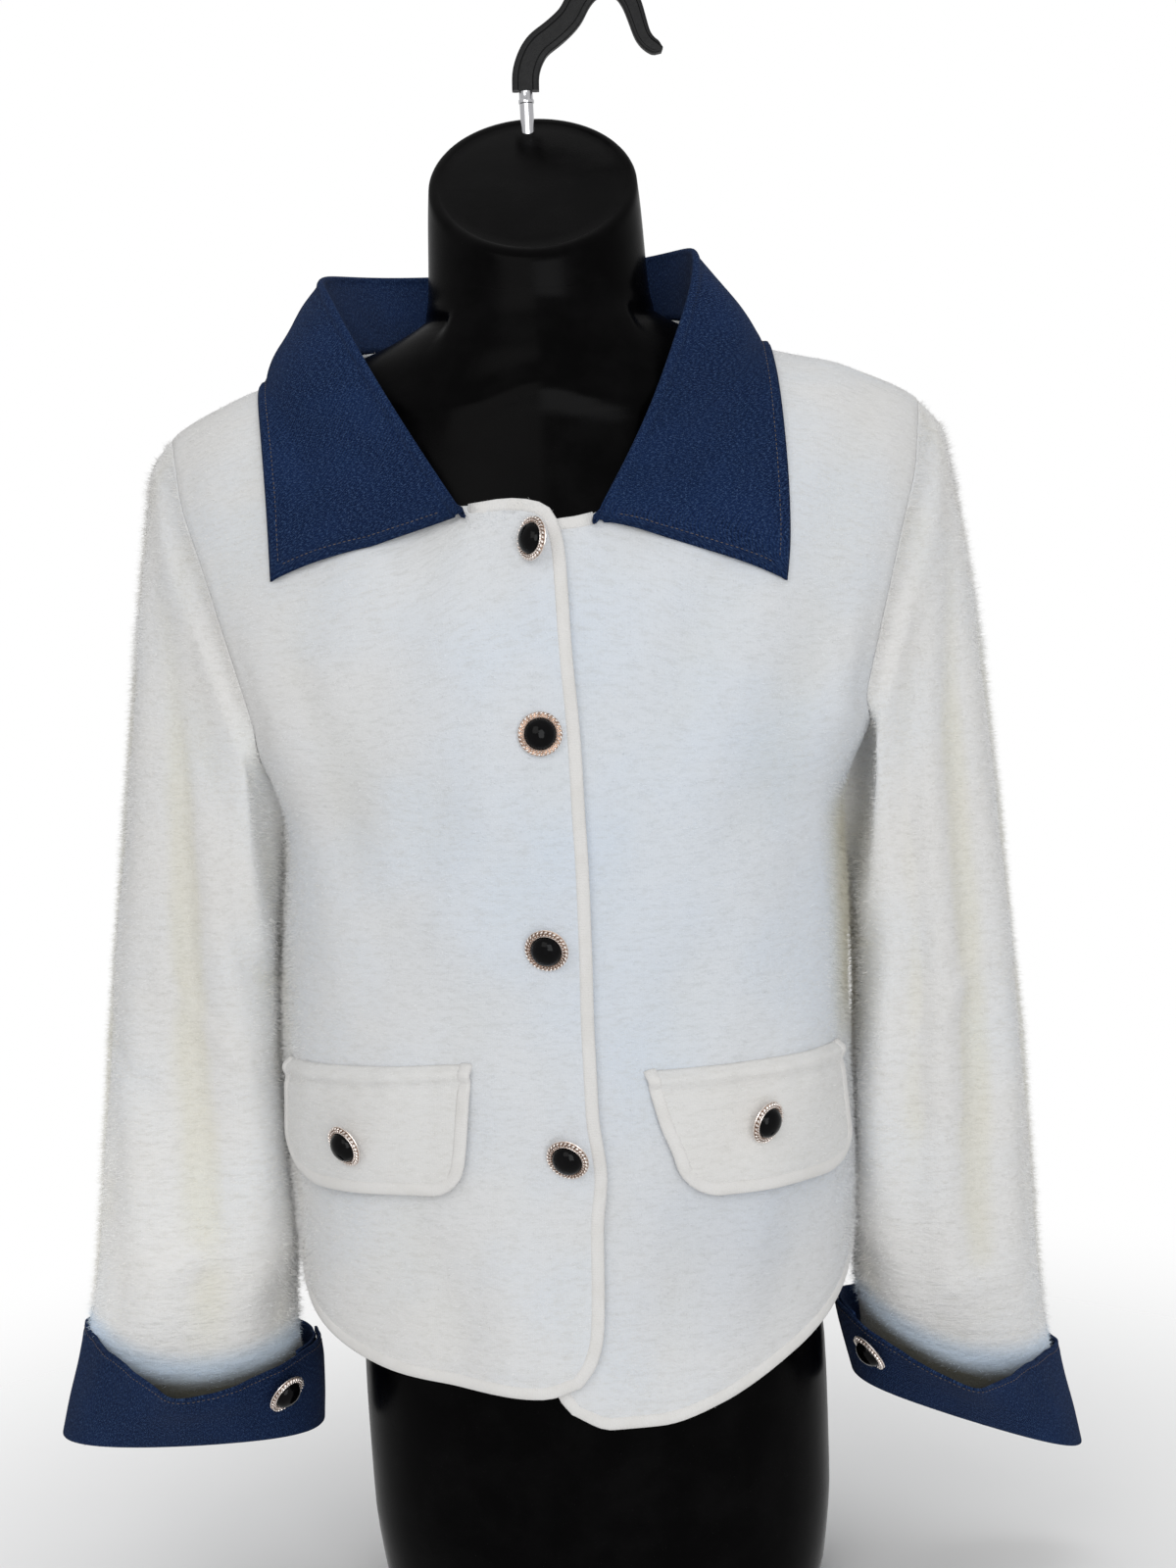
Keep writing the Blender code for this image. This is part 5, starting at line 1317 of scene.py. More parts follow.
def neckLine():
    # the collar's seam: its share along the collar and its points on the neck edges
    rightCount, backCount, leftCount = collarForm["steps"]
    low, high = collarForm["parts"]
    parts = []
    for side, start, end, count in ((right, 0.0, low, rightCount), (left, high, 1.0, leftCount)):
        panel = fronts[side]
        share = np.linspace(0, 1, count + 1)
        v = panel["neck"] + (0.9935 - panel["neck"]) * (share if side == right else 1 - share)
        parts.append((start + (end - start) * share, panel["point"](0.0, v)[0]))
    marks = back["marks"]
    share = np.linspace(0, 1, backCount + 1)[1:-1]
    spots = back["point"](marks[1] + (marks[-2] - marks[1]) * share, 1.0)[0]
    joined = [parts[0], (low + (high - low) * share, spots), parts[1]]
    return np.concatenate([at for at, _ in joined]), np.concatenate([spot for _, spot in joined])


def smoothAlong(values, reach):
    # evens a line of points, keeping its ends
    kernel = np.hanning(2 * reach + 3)[1:-1]
    kernel /= kernel.sum()
    before, after = values[reach:0:-1], values[-2 : -reach - 2 : -1]
    padded = np.concatenate((2 * values[:1] - before, values, 2 * values[-1:] - after))
    return np.stack([np.convolve(padded[:, k], kernel, "valid") for k in range(values.shape[1])], axis=-1)


def collarGrid():
    stations = np.linspace(0, 1, len(collarForm["rows"]))
    curves = curvesOf(collarForm["columns"], [(at, *row) for at, row in zip(stations, collarForm["rows"])])
    at, seam = neckLine()
    seam = smoothAlong(seam, 4)
    row = {name: curve(at) for name, curve in curves.items()}
    roll = smoothAlong(np.stack((row["rollX"], row["rollY"], row["rollZ"]), axis=-1), 5)
    edge = smoothAlong(np.stack((row["edgeX"], row["edgeY"], row["edgeZ"]), axis=-1), 5)
    flatOut = edge - seam
    flatOut[:, 2] = 0
    flatOut = unit(flatOut)
    rise = roll - seam
    seam = seam + (unit(rise) - flatOut * 0.4) * collarForm["gap"]
    drop = np.minimum(0.004, np.linalg.norm(rise, axis=1) * 0.3)[:, None] * np.array((0, 0, 1.0))
    innerTop = roll - flatOut * collarForm["roll"] - drop
    outerTop = roll + flatOut * collarForm["roll"] - drop
    downs = spread(*collarForm["downs"])
    rollFrom, rollUntil = collarForm["rollFrom"], collarForm["rollUntil"]
    columns = []
    for down in downs:
        if down <= rollFrom:
            spot = seam + (innerTop - seam) * (down / rollFrom)
        elif down <= rollUntil:
            a = math.pi * (down - rollFrom) / (rollUntil - rollFrom)  # over the roll
            spot = (innerTop + outerTop) / 2 - flatOut * collarForm["roll"] * math.cos(a)
            spot = spot + drop * 0.95 * math.sin(a)
        else:
            share = (down - rollUntil) / (1 - rollUntil)
            spot = outerTop + (edge - outerTop) * share
            lift = (flatOut + np.array((0, 0, 0.6))) * row["puff"][:, None]
            spot = spot + lift * math.sin(math.pi * share)
            spot = clearOfBody(spot, collarForm["off"])
        columns.append(spot)
    points = np.stack(columns, axis=1)
    # the leaf lies in slow waves, dips at its stitching and turns under at its edge
    normals = gridNormals(points, 1)
    toEdge, gone = toLast(points), runAlong(points)
    toEnd = np.minimum(gone, gone[-1] - gone)
    near = np.minimum(toEdge, np.where(downs[None, :] > 0.44, toEnd, 1.0))
    leaf = softStep((downs - rollUntil) / 0.2)[None, :]
    inset = collarForm["stitchInset"]
    out = -0.00045 * bell(near - inset, 0.0012) + 0.0003 * bell(near - 0.003, 0.0022)
    out = out - 0.001 * (1 - softStep(near / 0.0022))
    out = out + leaf * 0.0013 * np.sin(gone * 58 + toEdge * 30) * softStep(toEdge / 0.03)
    out = out + leaf * 0.00018 * np.sin(gone * 1500) * bell(near - inset, 0.004)
    return points + normals * out[..., None], downs


points, downs = collarGrid()
length, width = runAlong(points, 1), runAlong(points[:, collarForm["widthRow"]])
flat = np.stack((np.broadcast_to(width[:, None], length.shape), length), axis=-1)
collar = {"points": points, "normals": gridNormals(points, 1)}
addSheet("denimCollar", "collar", points, flat, "denim", 1, collarForm["wall"])
print("collar made")


# pocket flaps
flapForm = {
    "right": {
        "inX": 0.054, "lean": 0.005, "outX": 0.156, "topIn": 0.3225, "topOut": 0.319,
        "bottomIn": 0.2555, "bottomOut": 0.256, "cornerIn": 0.018, "cornerOut": 0.024,
    },
    "left": {
        "inX": 0.0345, "lean": 0.011, "outX": 0.14, "topIn": 0.3135, "topOut": 0.314,
        "bottomIn": 0.2475, "bottomOut": 0.248, "cornerIn": 0.024, "cornerOut": 0.018,
    },
    "offTop": 0.0037,
    "offBottom": 0.0065,
    "height": 0.062,
    "width": 0.11,
    "steps": ((0.1, 5), (0.9, 34), (1.0, 5)),
    "rows": ((0.12, 5), (0.84, 24), (1.0, 9)),
}


def flapPanel(side):
    form = flapForm[sideWord[side].lower()]
    inX, outX, cin, cout = form["inX"], form["outX"], form["cornerIn"], form["cornerOut"]

    def corner(x, z, reachX, reachZ, turns):
        angles = [math.radians(turn) for turn in turns]
        return [(x + reachX * (1 - math.cos(a)), z + reachZ * (1 - math.sin(a))) for a in angles]

    lowX = inX + form["lean"]
    lowIn = [(lowX + cin * 0.29, form["bottomIn"] + cin * 0.29)]
    lowIn += corner(lowX, form["bottomIn"], cin, cin, (25, 5))
    lowIn += [((inX + lowX) / 2, (form["topIn"] + form["bottomIn"]) / 2 + 0.006), (inX, form["topIn"])]
    lowOut = [(outX - cout * 0.29, form["bottomOut"] + cout * 0.29)]
    lowOut += corner(outX, form["bottomOut"], -cout, cout, (25, 5))
    lowOut += [(outX, form["topOut"] - 0.02), (outX, form["topOut"])]
    bottom = [lowIn[0]] + corner(lowX, form["bottomIn"], cin, cin, (65, 85))
    bottom += corner(outX, form["bottomOut"], -cout, cout, (85, 65)) + [lowOut[0]]
    chains = [lowIn, lowOut, bottom, [lowIn[-1], lowOut[-1]]]
    place = patch(*(pathOf(surfaceChain([(side * x, z) for x, z in chain])) for chain in chains))

    def point(u, v):
        u, v = np.broadcast_arrays(np.asarray(u, float), np.asarray(v, float))
        turn, run = np.moveaxis(place(u, v), -1, 0)
        flat = onBody(-1, turn, run)
        x, z = flat[..., 0], flat[..., 2]
        fromTop = (1 - v) * flapForm["height"]
        fromSide = np.minimum(np.minimum(u, 1 - u) * flapForm["width"], v * flapForm["height"])
        out = flapForm["offBottom"] + (flapForm["offTop"] - flapForm["offBottom"]) * v + frontWave(x, z)
        out = out + 0.0012 * bell(fromTop - 0.005, 0.0028)  # pressed seam under the top
        out = out - 0.001 * bell(fromTop - 0.0102, 0.0026)
        out = out - 0.003 * bell(fromTop, 0.0022)
        gathers = np.sin(x * 420 + 2 * side) + 0.6 * np.sin(x * 263 + 1)
        out = out + 0.0003 * gathers * bell(fromTop - 0.009, 0.008)
        out = out + 0.0014 * np.sin(np.pi * np.clip(u, 0, 1)) * np.sin(np.pi * np.clip(1 - v, 0, 1) * 0.8)
        out = out - 0.0004 * (1 - softStep((fromSide - 0.0054) / 0.0045))
        if side == right:
            out = out + lapLift(x)
        return onBody(-1, turn, run, out), turn, run

    return point


flaps = {}
for side, word in bothSides:
    us, vs = spread(*flapForm["steps"]), spread(*flapForm["rows"])
    u, v = meshGrid(us, vs)
    point = flapPanel(side)
    points, turn, run = point(u, v)
    normals = gridNormals(points, side)
    flat = np.stack((turn * perTurn, run), axis=-1)
    tint = tinted({"hollow": np.full(u.shape, 0.12)})
    flaps[side] = {"points": points, "normals": normals, "tint": tint, "shaggy": np.zeros(u.shape)}
    addKnit("knitFlap" + word, "flap_" + word.lower(), points, flat, "knitFlap", side, tint)
    edges = np.concatenate((points[0, ::-1], points[1:, 0], points[-1, 1:]))
    normals = np.concatenate((normals[0, ::-1], normals[1:, 0], normals[-1, 1:]))
    inward = points[len(us) // 2, len(vs) // 2] - edges
    intos = edgeFrame(edges, normals, inward, 2)
    edgeStrip("knitEdgeFlap" + word, edges, intos, normals, ("binding_flap_" + word.lower(),))
print("pocket flaps made")


# buttons
buttonForm = {
    # radius, height above the cloth
    "flange": (
        (0.0, 0.0004), (0.006, 0.0004), (0.01, 0.0007), (0.01115, 0.0012), (0.0114, 0.0016),
        (0.0112, 0.002), (0.0107, 0.0022), (0.0099, 0.002), (0.0092, 0.0021), (0.0086, 0.0022),
        (0.0085, 0.0029), (0.0083, 0.0031), (0.0081, 0.0028), (0.008, 0.002), (0.0, 0.002),
    ),
    "dome": (
        (0.0, 0.0082), (0.0017, 0.0081), (0.0033, 0.0077), (0.0048, 0.0071), (0.0062, 0.0062),
        (0.0072, 0.0051), (0.0079, 0.0039), (0.0081, 0.0029), (0.0079, 0.0023), (0.0, 0.0023),
    ),
    # radius, height, how many, size of one bead
    "beadRings": (
        (0.01045, 0.0027, 30, (0.0006, 0.00112, 0.0009)),
        (0.00915, 0.0028, 36, (0.00036, 0.00066, 0.00068)),
    ),
    "sides": 40,
    "lowRims": ((0.0113, 0.0026), (0.0112, 0.001), (0.005, 0.0004), (0.0, 0.0004)),
    # across, height, turn, nod
    "front": (
        (-0.007, 0.5835, -50, 6), (-0.0098, 0.4885, 6, 2), (-0.0118, 0.381, -14, 16),
        (-0.007, 0.2735, -22, 22),
    ),
    # across, height, turn, nod, off
    "flap": ((-0.1155, 0.281, -14, 20, 0.0057), (0.09, 0.283, 20, 18, 0.0045)),
    # degrees round the cuff, share of its height, turn outward from the sleeve, nod
    "cuff": ((140, 0.71, -12, 33), (140.5, 0.8, -10, 31)),
    "sink": 0.8,  # the low side of a tilted button presses into the cloth
}


def spunMesh(name, profile, frameMatrix, beads=False):
    # a turned shape, with a rope of beads if asked
    mesh = bmesh.new()
    knots = [mesh.verts.new((radius, 0, height)) for radius, height in profile]
    for k in range(len(knots) - 1):
        mesh.edges.new((knots[k], knots[k + 1]))
    bmesh.ops.spin(
        mesh, geom=mesh.verts[:] + mesh.edges[:], cent=(0, 0, 0), axis=(0, 0, 1), angle=2 * math.pi,
        steps=buttonForm["sides"], use_merge=True,
    )
    bmesh.ops.remove_doubles(mesh, verts=mesh.verts, dist=0.00001)
    bmesh.ops.recalc_face_normals(mesh, faces=mesh.faces)
    if beads:
        # the flange faces under the beads take the second, darker gold as painted shade between the beads
        for face in mesh.faces:
            middle = face.calc_center_median()
            face.material_index = int(math.hypot(middle.x, middle.y) > 0.0087 and middle.z > 0.0018)
        lean = Matrix.Rotation(math.radians(34), 4, "Z")  # slanting beads read as a rope
        for radius, height, count, size in buttonForm["beadRings"]:
            for k in range(count):
                spin = Matrix.Rotation(2 * math.pi * k / count, 4, "Z")
                bead = spin @ Matrix.Translation((radius, 0, height)) @ lean @ Matrix.Diagonal((*size, 1))
                bmesh.ops.create_uvsphere(mesh, u_segments=7, v_segments=5, radius=1.0, matrix=bead)
    bmesh.ops.transform(mesh, matrix=frameMatrix, verts=mesh.verts)
    data = bpy.data.meshes.new(name)
    mesh.to_mesh(data)
    mesh.free()
    return data


def lifted(across, height, out):
    turn, run = toSurface(np.float64(across), np.float64(height))
    return Vector(onBody(-1, turn, run, out))


def facingAt(across, height, out):
    here = lifted(across, height, out)
    sideways = lifted(across + 0.004, height, out) - here
    up = lifted(across, height + 0.004, out) - here
    return sideways.cross(up).normalized()


def seatEase(turn, nod):
    lean = math.radians(math.hypot(turn, nod))
    return max(radius * math.sin(lean) - height * math.cos(lean) for radius, height in buttonForm["lowRims"])


def addButton(word, node, spot, facing, turn, nod):
    place = facing.to_track_quat("Z", "Y").to_matrix().to_4x4()
    lean = Matrix.Rotation(math.radians(turn), 4, "Z") @ Matrix.Rotation(math.radians(nod), 4, "X")
    place = lean @ place
    place.translation = spot
    rim, dome = "button" + word + "Rim", "button" + word + "Dome"
    data = spunMesh(rim, buttonForm["flange"], place, beads=True)
    addPiece(rim, data, looks["gold"], (node + "_rim",))
    # the darker gold is painted shade between the beads
    data.materials.append(looks["goldShade"])
    data.set_sharp_from_angle(angle=math.radians(50))
    data = spunMesh(dome, buttonForm["dome"], place)
    addPiece(dome, data, looks["dome"], (node + "_dome",))


for k, (across, height, turn, nod) in enumerate(buttonForm["front"]):
    out = bodyForm["lap"] + float(frontWave(np.float64(across), np.float64(height)))
    facing = facingAt(across, height, out)
    spot = lifted(across, height, out) + facing * (seatEase(turn, nod) * buttonForm["sink"] + 0.0005)
    addButton(f"Front{k + 1}", f"button_front_{k + 1}", spot, facing, turn, nod)
for (across, height, turn, nod, off), word in zip(buttonForm["flap"], ("Right", "Left")):
    out = off + 0.001 + float(frontWave(np.float64(across), np.float64(height)))
    facing = facingAt(across, height, flapForm["offBottom"])
    spot = lifted(across, height, out) + facing * seatEase(turn, nod) * buttonForm["sink"]
    addButton("Flap" + word, "button_flap_" + word.lower(), spot, facing, turn, nod)
for (side, word), (middle, share, turn, nod) in zip(bothSides, buttonForm["cuff"]):
    band = cuffs[side]["band"]
    lap = cuffForm["lap"]
    here, before, after, low, high = (
        Vector(band(middle + aside, share + up, lap))
        for aside, up in ((0, 0), (-4, 0), (4, 0), (0, -0.1), (0, 0.1))
    )
    facing = ((after - before).cross(high - low) * -side).normalized()
    spot = here + facing * (seatEase(turn, nod) * buttonForm["sink"] - 0.0006)
    addButton("Cuff" + word, "button_cuff_" + word.lower(), spot, facing, turn * -side, nod)
print("buttons made")


# topstitching on the denim
stitchForm = {"pitch": 0.0027, "half": 0.0012, "size": (0.00095, 0.0002, 0.00018), "rise": 0.00008}


def addStitches(name, line, normals):
    # short raised stitches along a line of points
    steps = runAlong(line)
    pitch, half = stitchForm["pitch"], stitchForm["half"]
    size = Matrix.Diagonal((*stitchForm["size"], 1))
    mesh = bmesh.new()
    for place in np.arange(pitch, steps[-1] - pitch / 2, pitch):
        spot, before, after, up = (
            Vector([float(np.interp(where, steps, rows[:, k])) for k in range(3)])
            for where, rows in ((place, line), (place - half, line), (place + half, line), (place, normals))
        )
        along, up = (after - before).normalized(), up.normalized()
        side = up.cross(along).normalized()
        turn = Matrix((along, side, up)).transposed().to_4x4()
        matrix = Matrix.Translation(spot + up * stitchForm["rise"]) @ turn @ size
        bmesh.ops.create_uvsphere(mesh, u_segments=6, v_segments=4, radius=1.0, matrix=matrix)
    data = bpy.data.meshes.new(name)
    mesh.to_mesh(data)
    mesh.free()
    addPiece(name, data, looks["thread"])


def insetLine(sheet, distances, inset, columns):
    # where each column's distance to its edge falls to the inset
    line, normals = [], []
    for i in columns:
        away = distances[i][::-1]
        j = np.interp(inset, away, np.arange(len(away)))
        j = len(away) - 1 - j
        low = int(math.floor(j))
        high, part = min(low + 1, len(away) - 1), j - low
        line.append(sheet["points"][i, low] * (1 - part) + sheet["points"][i, high] * part)
        normals.append(sheet["normals"][i, low] * (1 - part) + sheet["normals"][i, high] * part)
    return np.array(line), np.array(normals)


inset = collarForm["stitchInset"]
toEdge, across = toLast(collar["points"]), runAlong(collar["points"][:, -6])
inner = [i for i in range(len(across)) if inset < across[i] < across[-1] - inset]
line, normals = insetLine(collar, toEdge, inset, inner)
addStitches("collarStitches", line, normals)
fallRows = [j for j, down in enumerate(downs) if down > 0.47]
for word, i, step in (("Right", 0, 1), ("Left", len(across) - 1, -1)):
    line, normals = [], []
    for j in fallRows:
        if toEdge[i, j] < inset:
            break
        column = collar["points"][::step, j]
        gone = runAlong(column)
        k = int(np.searchsorted(gone, inset))
        part = (inset - gone[k - 1]) / (gone[k] - gone[k - 1])
        line.append(column[k - 1] * (1 - part) + column[k] * part)
        normals.append(collar["normals"][::step, j][k])
    addStitches("collarStitches" + word, np.array(line), np.array(normals))
for side, word in bothSides:
    sheet = cuffs[side]
    toTop = toLast(sheet["points"])
    line, normals = insetLine(sheet, toTop, cuffForm["stitchInset"], range(1, len(toTop) - 1))
    addStitches("cuffStitches" + word, line, normals)
print("topstitching made")


# dress form
dressForm = {
    "columns": ("height", "half", "front", "back"),
    "torso": (
        (0.0, 0.122, 0.086, 0.082), (0.06, 0.129, 0.092, 0.09), (0.13, 0.13, 0.093, 0.091),
        (0.2, 0.123, 0.089, 0.085), (0.27, 0.115, 0.084, 0.078), (0.34, 0.119, 0.09, 0.08),
        (0.41, 0.131, 0.105, 0.086), (0.46, 0.139, 0.113, 0.092), (0.51, 0.156, 0.109, 0.094),
        (0.58, 0.183, 0.099, 0.093), (0.65, 0.192, 0.093, 0.09), (0.72, 0.193, 0.09, 0.088),
    ),
    "neck": (
        (0.56, 0.03, 0.03, 0.03), (0.62, 0.062, 0.056, 0.052), (0.66, 0.069, 0.059, 0.056),
        (0.7, 0.064, 0.056, 0.053), (0.73, 0.0605, 0.0545, 0.051), (0.77, 0.0585, 0.054, 0.05),
        (0.8, 0.056, 0.053, 0.05),
    ),
    "square": 2.3,
    "below": 0.003,
    "bones": (0.664, 0.0075, 0.0032),  # height, half width, size
    "footRound": 0.002,
    "capMiddle": 0.785,
    "capSlope": 0.9,
    "neckFrom": 0.57,
    "clothUntil": 0.716,  # below this the form stays inside the cloth
    "clothGap": 0.0058,
    # height, share of the cap's slope
    "lean": (
        (0.69, 0.0), (0.706, 0.0622), (0.718, 0.1438), (0.735, 0.2935), (0.757, 0.74), (0.775, 0.93),
        (0.785, 1.0),
    ),
    # share of the top ring's size, height above it: a rounded rim, a shallow step and a low crown
    "cap": (
        (0.992, 0.0009), (0.978, 0.0018), (0.955, 0.0023), (0.925, 0.0024), (0.905, 0.002), (0.885, 0.0017),
        (0.8, 0.0021), (0.6, 0.0027), (0.35, 0.0031), (0.12, 0.0033),
    ),
    "sides": 112,
    "levels": ((0.55, 40), (0.66, 22), (0.785, 33)),
    "softFrom": 46,  # the first level that is softened
}
torsoCurves = curvesOf(dressForm["columns"], dressForm["torso"])
neckCurves = curvesOf(dressForm["columns"], dressForm["neck"])


def farthest(inside, angle, rounds):
    # how far out the test still holds in each direction, found by halving
    low, high = np.zeros_like(angle), np.full_like(angle, 0.3)
    for _ in range(rounds):
        middle = (low + high) / 2
        holds = inside(middle)
        low, high = np.where(holds, middle, low), np.where(holds, high, middle)
    return low


def clothReach(angle, height):
    # how far the jacket's outer surface stands from the upright middle
    def inside(middle):
        x = middle * np.sin(angle)
        rise = np.maximum(0.0, (height - roofStart) / (ridge(x) - roofStart))
        level = roofLevel(rise) if height > roofStart else np.full_like(angle, height)
        share = np.abs(x - bodyCurves["centre"](level)) / bodyCurves["half"](level)
        deep = np.where(np.cos(angle) > 0, bodyCurves["front"](level), bodyCurves["back"](level))
        deep = deep * depthAt(np.clip(rise, 0, 1), bodyForm["roofSquare"])
        deep = deep * depthAt(np.clip(share, 0, 1), bodyForm["square"])
        return (rise < 1) & (share < 1) & (np.abs(middle * np.cos(angle)) < deep)

    return farthest(inside, angle, 26)


def formRadius(angle, height):
    # how far the form reaches from its upright middle in each direction at one level
    x, y = np.sin(angle), -np.cos(angle)
    half, square = torsoCurves["half"](height), dressForm["square"]
    deep = np.where(y < 0, torsoCurves["front"](height), torsoCurves["back"](height))

    def inside(middle):
        across = np.abs(middle * x)
        rise = np.maximum(0.0, (height - roofStart) / (ridge(across) - dressForm["below"] - roofStart))
        roof = depthAt(np.clip(rise, 0, 1), bodyForm["roofSquare"])
        share = (across / half) ** square + (np.abs(middle * y) / np.maximum(deep * roof, 1e-6)) ** square
        return (rise < 1) & (share < 1)

    torso = farthest(inside, angle, 30)
    if height < dressForm["neckFrom"]:
        return torso
    neckDeep = np.where(y < 0, neckCurves["front"](height), neckCurves["back"](height))
    neck = 1 / np.sqrt((x / neckCurves["half"](height)) ** 2 + (y / neckDeep) ** 2)
    blend = 0.008 + 0.014 * np.maximum(0.0, -y)
    near = np.maximum(0.0, blend - np.abs(torso - neck))
    reach = np.maximum(torso, neck) + near * near / (4 * blend)
    # a soft line of collarbones across the front
    level, wide, size = dressForm["bones"]
    bones = bell(height - level - 0.005 * np.cos(angle * 5), wide)
    reach = reach + size * bones * softStep((-y - 0.25) / 0.5)
    if height < dressForm["clothUntil"]:
        limit = np.maximum(clothReach(angle, height) - dressForm["clothGap"], neck)
        reach = np.where(y > -0.6, np.minimum(reach, limit), reach)
    return reach


def buildForm():
    angle = np.linspace(0, 2 * math.pi, dressForm["sides"] + 1)
    angle[-1] = 0.0
    leanCurve = smoothCurve(*zip(*dressForm["lean"]))
    heights = [0.0]
    for end, count in dressForm["levels"]:
        heights += list(np.linspace(heights[-1], end, count + 1)[1:])
    reaches = np.stack([formRadius(angle, height) for height in heights], axis=1)
    first = dressForm["softFrom"]
    for _ in range(2):  # softens the steps where the neck leaves the shoulders
        inner = reaches[:, 1:-1] * 0.5 + (reaches[:, :-2] + reaches[:, 2:]) * 0.25
        reaches[:, first:-3] = np.minimum(inner, reaches[:, 1:-1])[:, first - 1 : -2]
    rings = []
    for height, reach in zip(heights, reaches.T):
        if height == 0.0:
            reach = reach - dressForm["footRound"]
        x, y = reach * np.sin(angle), -reach * np.cos(angle)
        lean = leanCurve(height) * dressForm["capSlope"]
        rings.append(np.stack((x, y, height + lean * y), axis=-1))
    top = reaches[:, -1]
    for size, up in dressForm["cap"]:
        x, y = top * size * np.sin(angle), -top * size * np.cos(angle)
        rings.append(np.stack((x, y, dressForm["capMiddle"] + dressForm["capSlope"] * y + up), axis=-1))
    points = np.stack(rings, axis=1)
    points[-1] = points[0]
    return sheetMesh("glossForm", points, points[..., :2].copy(), closed=True, caps=True)


addPiece("glossForm", buildForm(), looks["form"], ("dress_form",))
pieces["glossForm"].data.set_sharp_from_angle(angle=math.radians(60))
print("dress form made")


# pin and hook
hookForm = {
    "pinAcross": -0.0015,
    "pinBack": 0.04,
    "pinRadius": 0.0038,
    "pinSink": 0.0097,
    "pinTop": 0.844,
    # across, height, width
    "hook": (
        (-0.0015, 0.8444, 0.0152), (-0.0012, 0.852, 0.0152), (0.001, 0.86, 0.015), (0.0062, 0.8685, 0.015),
        (0.0165, 0.876, 0.0148), (0.0255, 0.884, 0.0144), (0.0315, 0.8935, 0.014), (0.039, 0.9, 0.0136),
        (0.048, 0.9015, 0.013), (0.056, 0.8975, 0.012), (0.0605, 0.89, 0.011), (0.0635, 0.88, 0.01),
        (0.0662, 0.871, 0.0092), (0.071, 0.8655, 0.0084), (0.0765, 0.863, 0.0074),
    ),
    "thick": 0.007,
    "steps": 90,
}


def buildPin():
    seat = dressForm["capMiddle"] + dressForm["capSlope"] * hookForm["pinBack"] - hookForm["pinSink"]
    radius, top = hookForm["pinRadius"], hookForm["pinTop"]
    profile = [(0.0, seat), (radius, seat), (radius, 0.8372)]
    profile += [(radius * 1.12, 0.8376), (radius * 1.14, 0.8384), (radius * 1.12, 0.8394)]
    profile += [(radius, 0.84), (radius, top), (0.0, top)]
    place = Matrix.Translation((hookForm["pinAcross"], hookForm["pinBack"], 0))
    return spunMesh("steelPin", profile, place)


addPiece("steelPin", buildPin(), looks["steel"], ("hook_pin",))
pieces["steelPin"].data.set_sharp_from_angle(angle=math.radians(40))


def buildHook():
    rows = np.array(hookForm["hook"])
    run = runAlong(rows[:, :2])
    at = np.linspace(0, run[-1], hookForm["steps"])
    line = np.stack([smoothCurve(run, rows[:, k])(at) for k in range(3)], axis=-1)
    line = smoothAlong(line, 3)
    along = unit(np.gradient(line[:, :2], axis=0))
    sideways = np.stack((-along[:, 1], along[:, 0]), axis=-1)
    half, thick = line[:, 2] / 2, hookForm["thick"] / 2
    half = half * np.sqrt(np.clip((run[-1] - at) / 0.0038, 0.12, 1))  # rounded end
    # a rounded bar with a shallow channel down its broad faces
    corner = [(1, 0.72), (0.93, 0.93), (0.8, 1.0), (0.6, 1.0), (0.5, 0.8)]
    face = corner + [(-wide, deep) for wide, deep in reversed(corner)]
    profile = [(1, -0.72)] + face + [(-wide, -deep) for wide, deep in face]
    rings = []
    for wide, deep in profile:
        spot = line[:, :2] + sideways * (half * wide)[:, None]
        y = np.full(len(spot), hookForm["pinBack"] + deep * thick)
        rings.append(np.stack((spot[:, 0], y, spot[:, 1]), axis=-1))
    points = np.stack(rings)
    return sheetMesh("satinHook", points, points[..., (0, 2)].copy(), closed=True, caps=True)


addPiece("satinHook", buildHook(), looks["hook"], ("hook",))
pieces["satinHook"].data.set_sharp_from_angle(angle=math.radians(35))
print("pin and hook made")


# nap: loose fibre ends standing off the knit
napForm = {
    "width": 0.00024,
    "lean": 0.6,
    "droop": 0.1,
    "tone": (0.94, 0.13),  # least, and how much more
    "lying": 0.8,  # share of the fibres that lie crosswise on the cloth
    "lyingWidth": 0.00034,
    "lyingLift": (0.22, 0.35),
    "lyingWaver": 0.28,
    # piece, sheet, how many, shortest and longest, combing, seed
    "pieces": (
        ("FrontRight", fronts[right], 72000, (0.0008, 0.0022), (0.0, 0.0, -0.25), 11),
        ("FrontLeft", fronts[left], 72000, (0.0008, 0.0022), (0.0, 0.0, -0.25), 12),
        ("Back", back, 90000, (0.0009, 0.0026), (0.0, 0.0, -0.25), 13),
        ("SleeveRight", sleeves[right], 92000, (0.0011, 0.003), (0.0, 0.0, -0.05), 14),
        ("SleeveLeft", sleeves[left], 92000, (0.0011, 0.003), (0.0, 0.0, -0.05), 15),
        ("FlapRight", flaps[right], 5000, (0.0007, 0.0018), (0.0, 0.0, -0.25), 16),
        ("FlapLeft", flaps[left], 5000, (0.0007, 0.0018), (0.0, 0.0, -0.25), 17),
    ),
    "shaggier": 1.3,  # how much longer the fibres grow where the cloth is shaggy
    "denser": 2.0,  # and how many more of them grow there
    "hiddenLap": 0.006,  # no nap on the left front past this, where the right front lies on it
}


def looseBlades(name, count):
    # narrow three-cornered blades, each on its own, cut from a strip of squares
    mesh = bmesh.new()
    bmesh.ops.create_grid(mesh, x_segments=count // 2, y_segments=1, size=1.0)
    bmesh.ops.triangulate(mesh, faces=mesh.faces[:])
    bmesh.ops.split_edges(mesh, edges=mesh.edges[:])
    data = bpy.data.meshes.new(name)
    mesh.to_mesh(data)
    mesh.free()
    return data


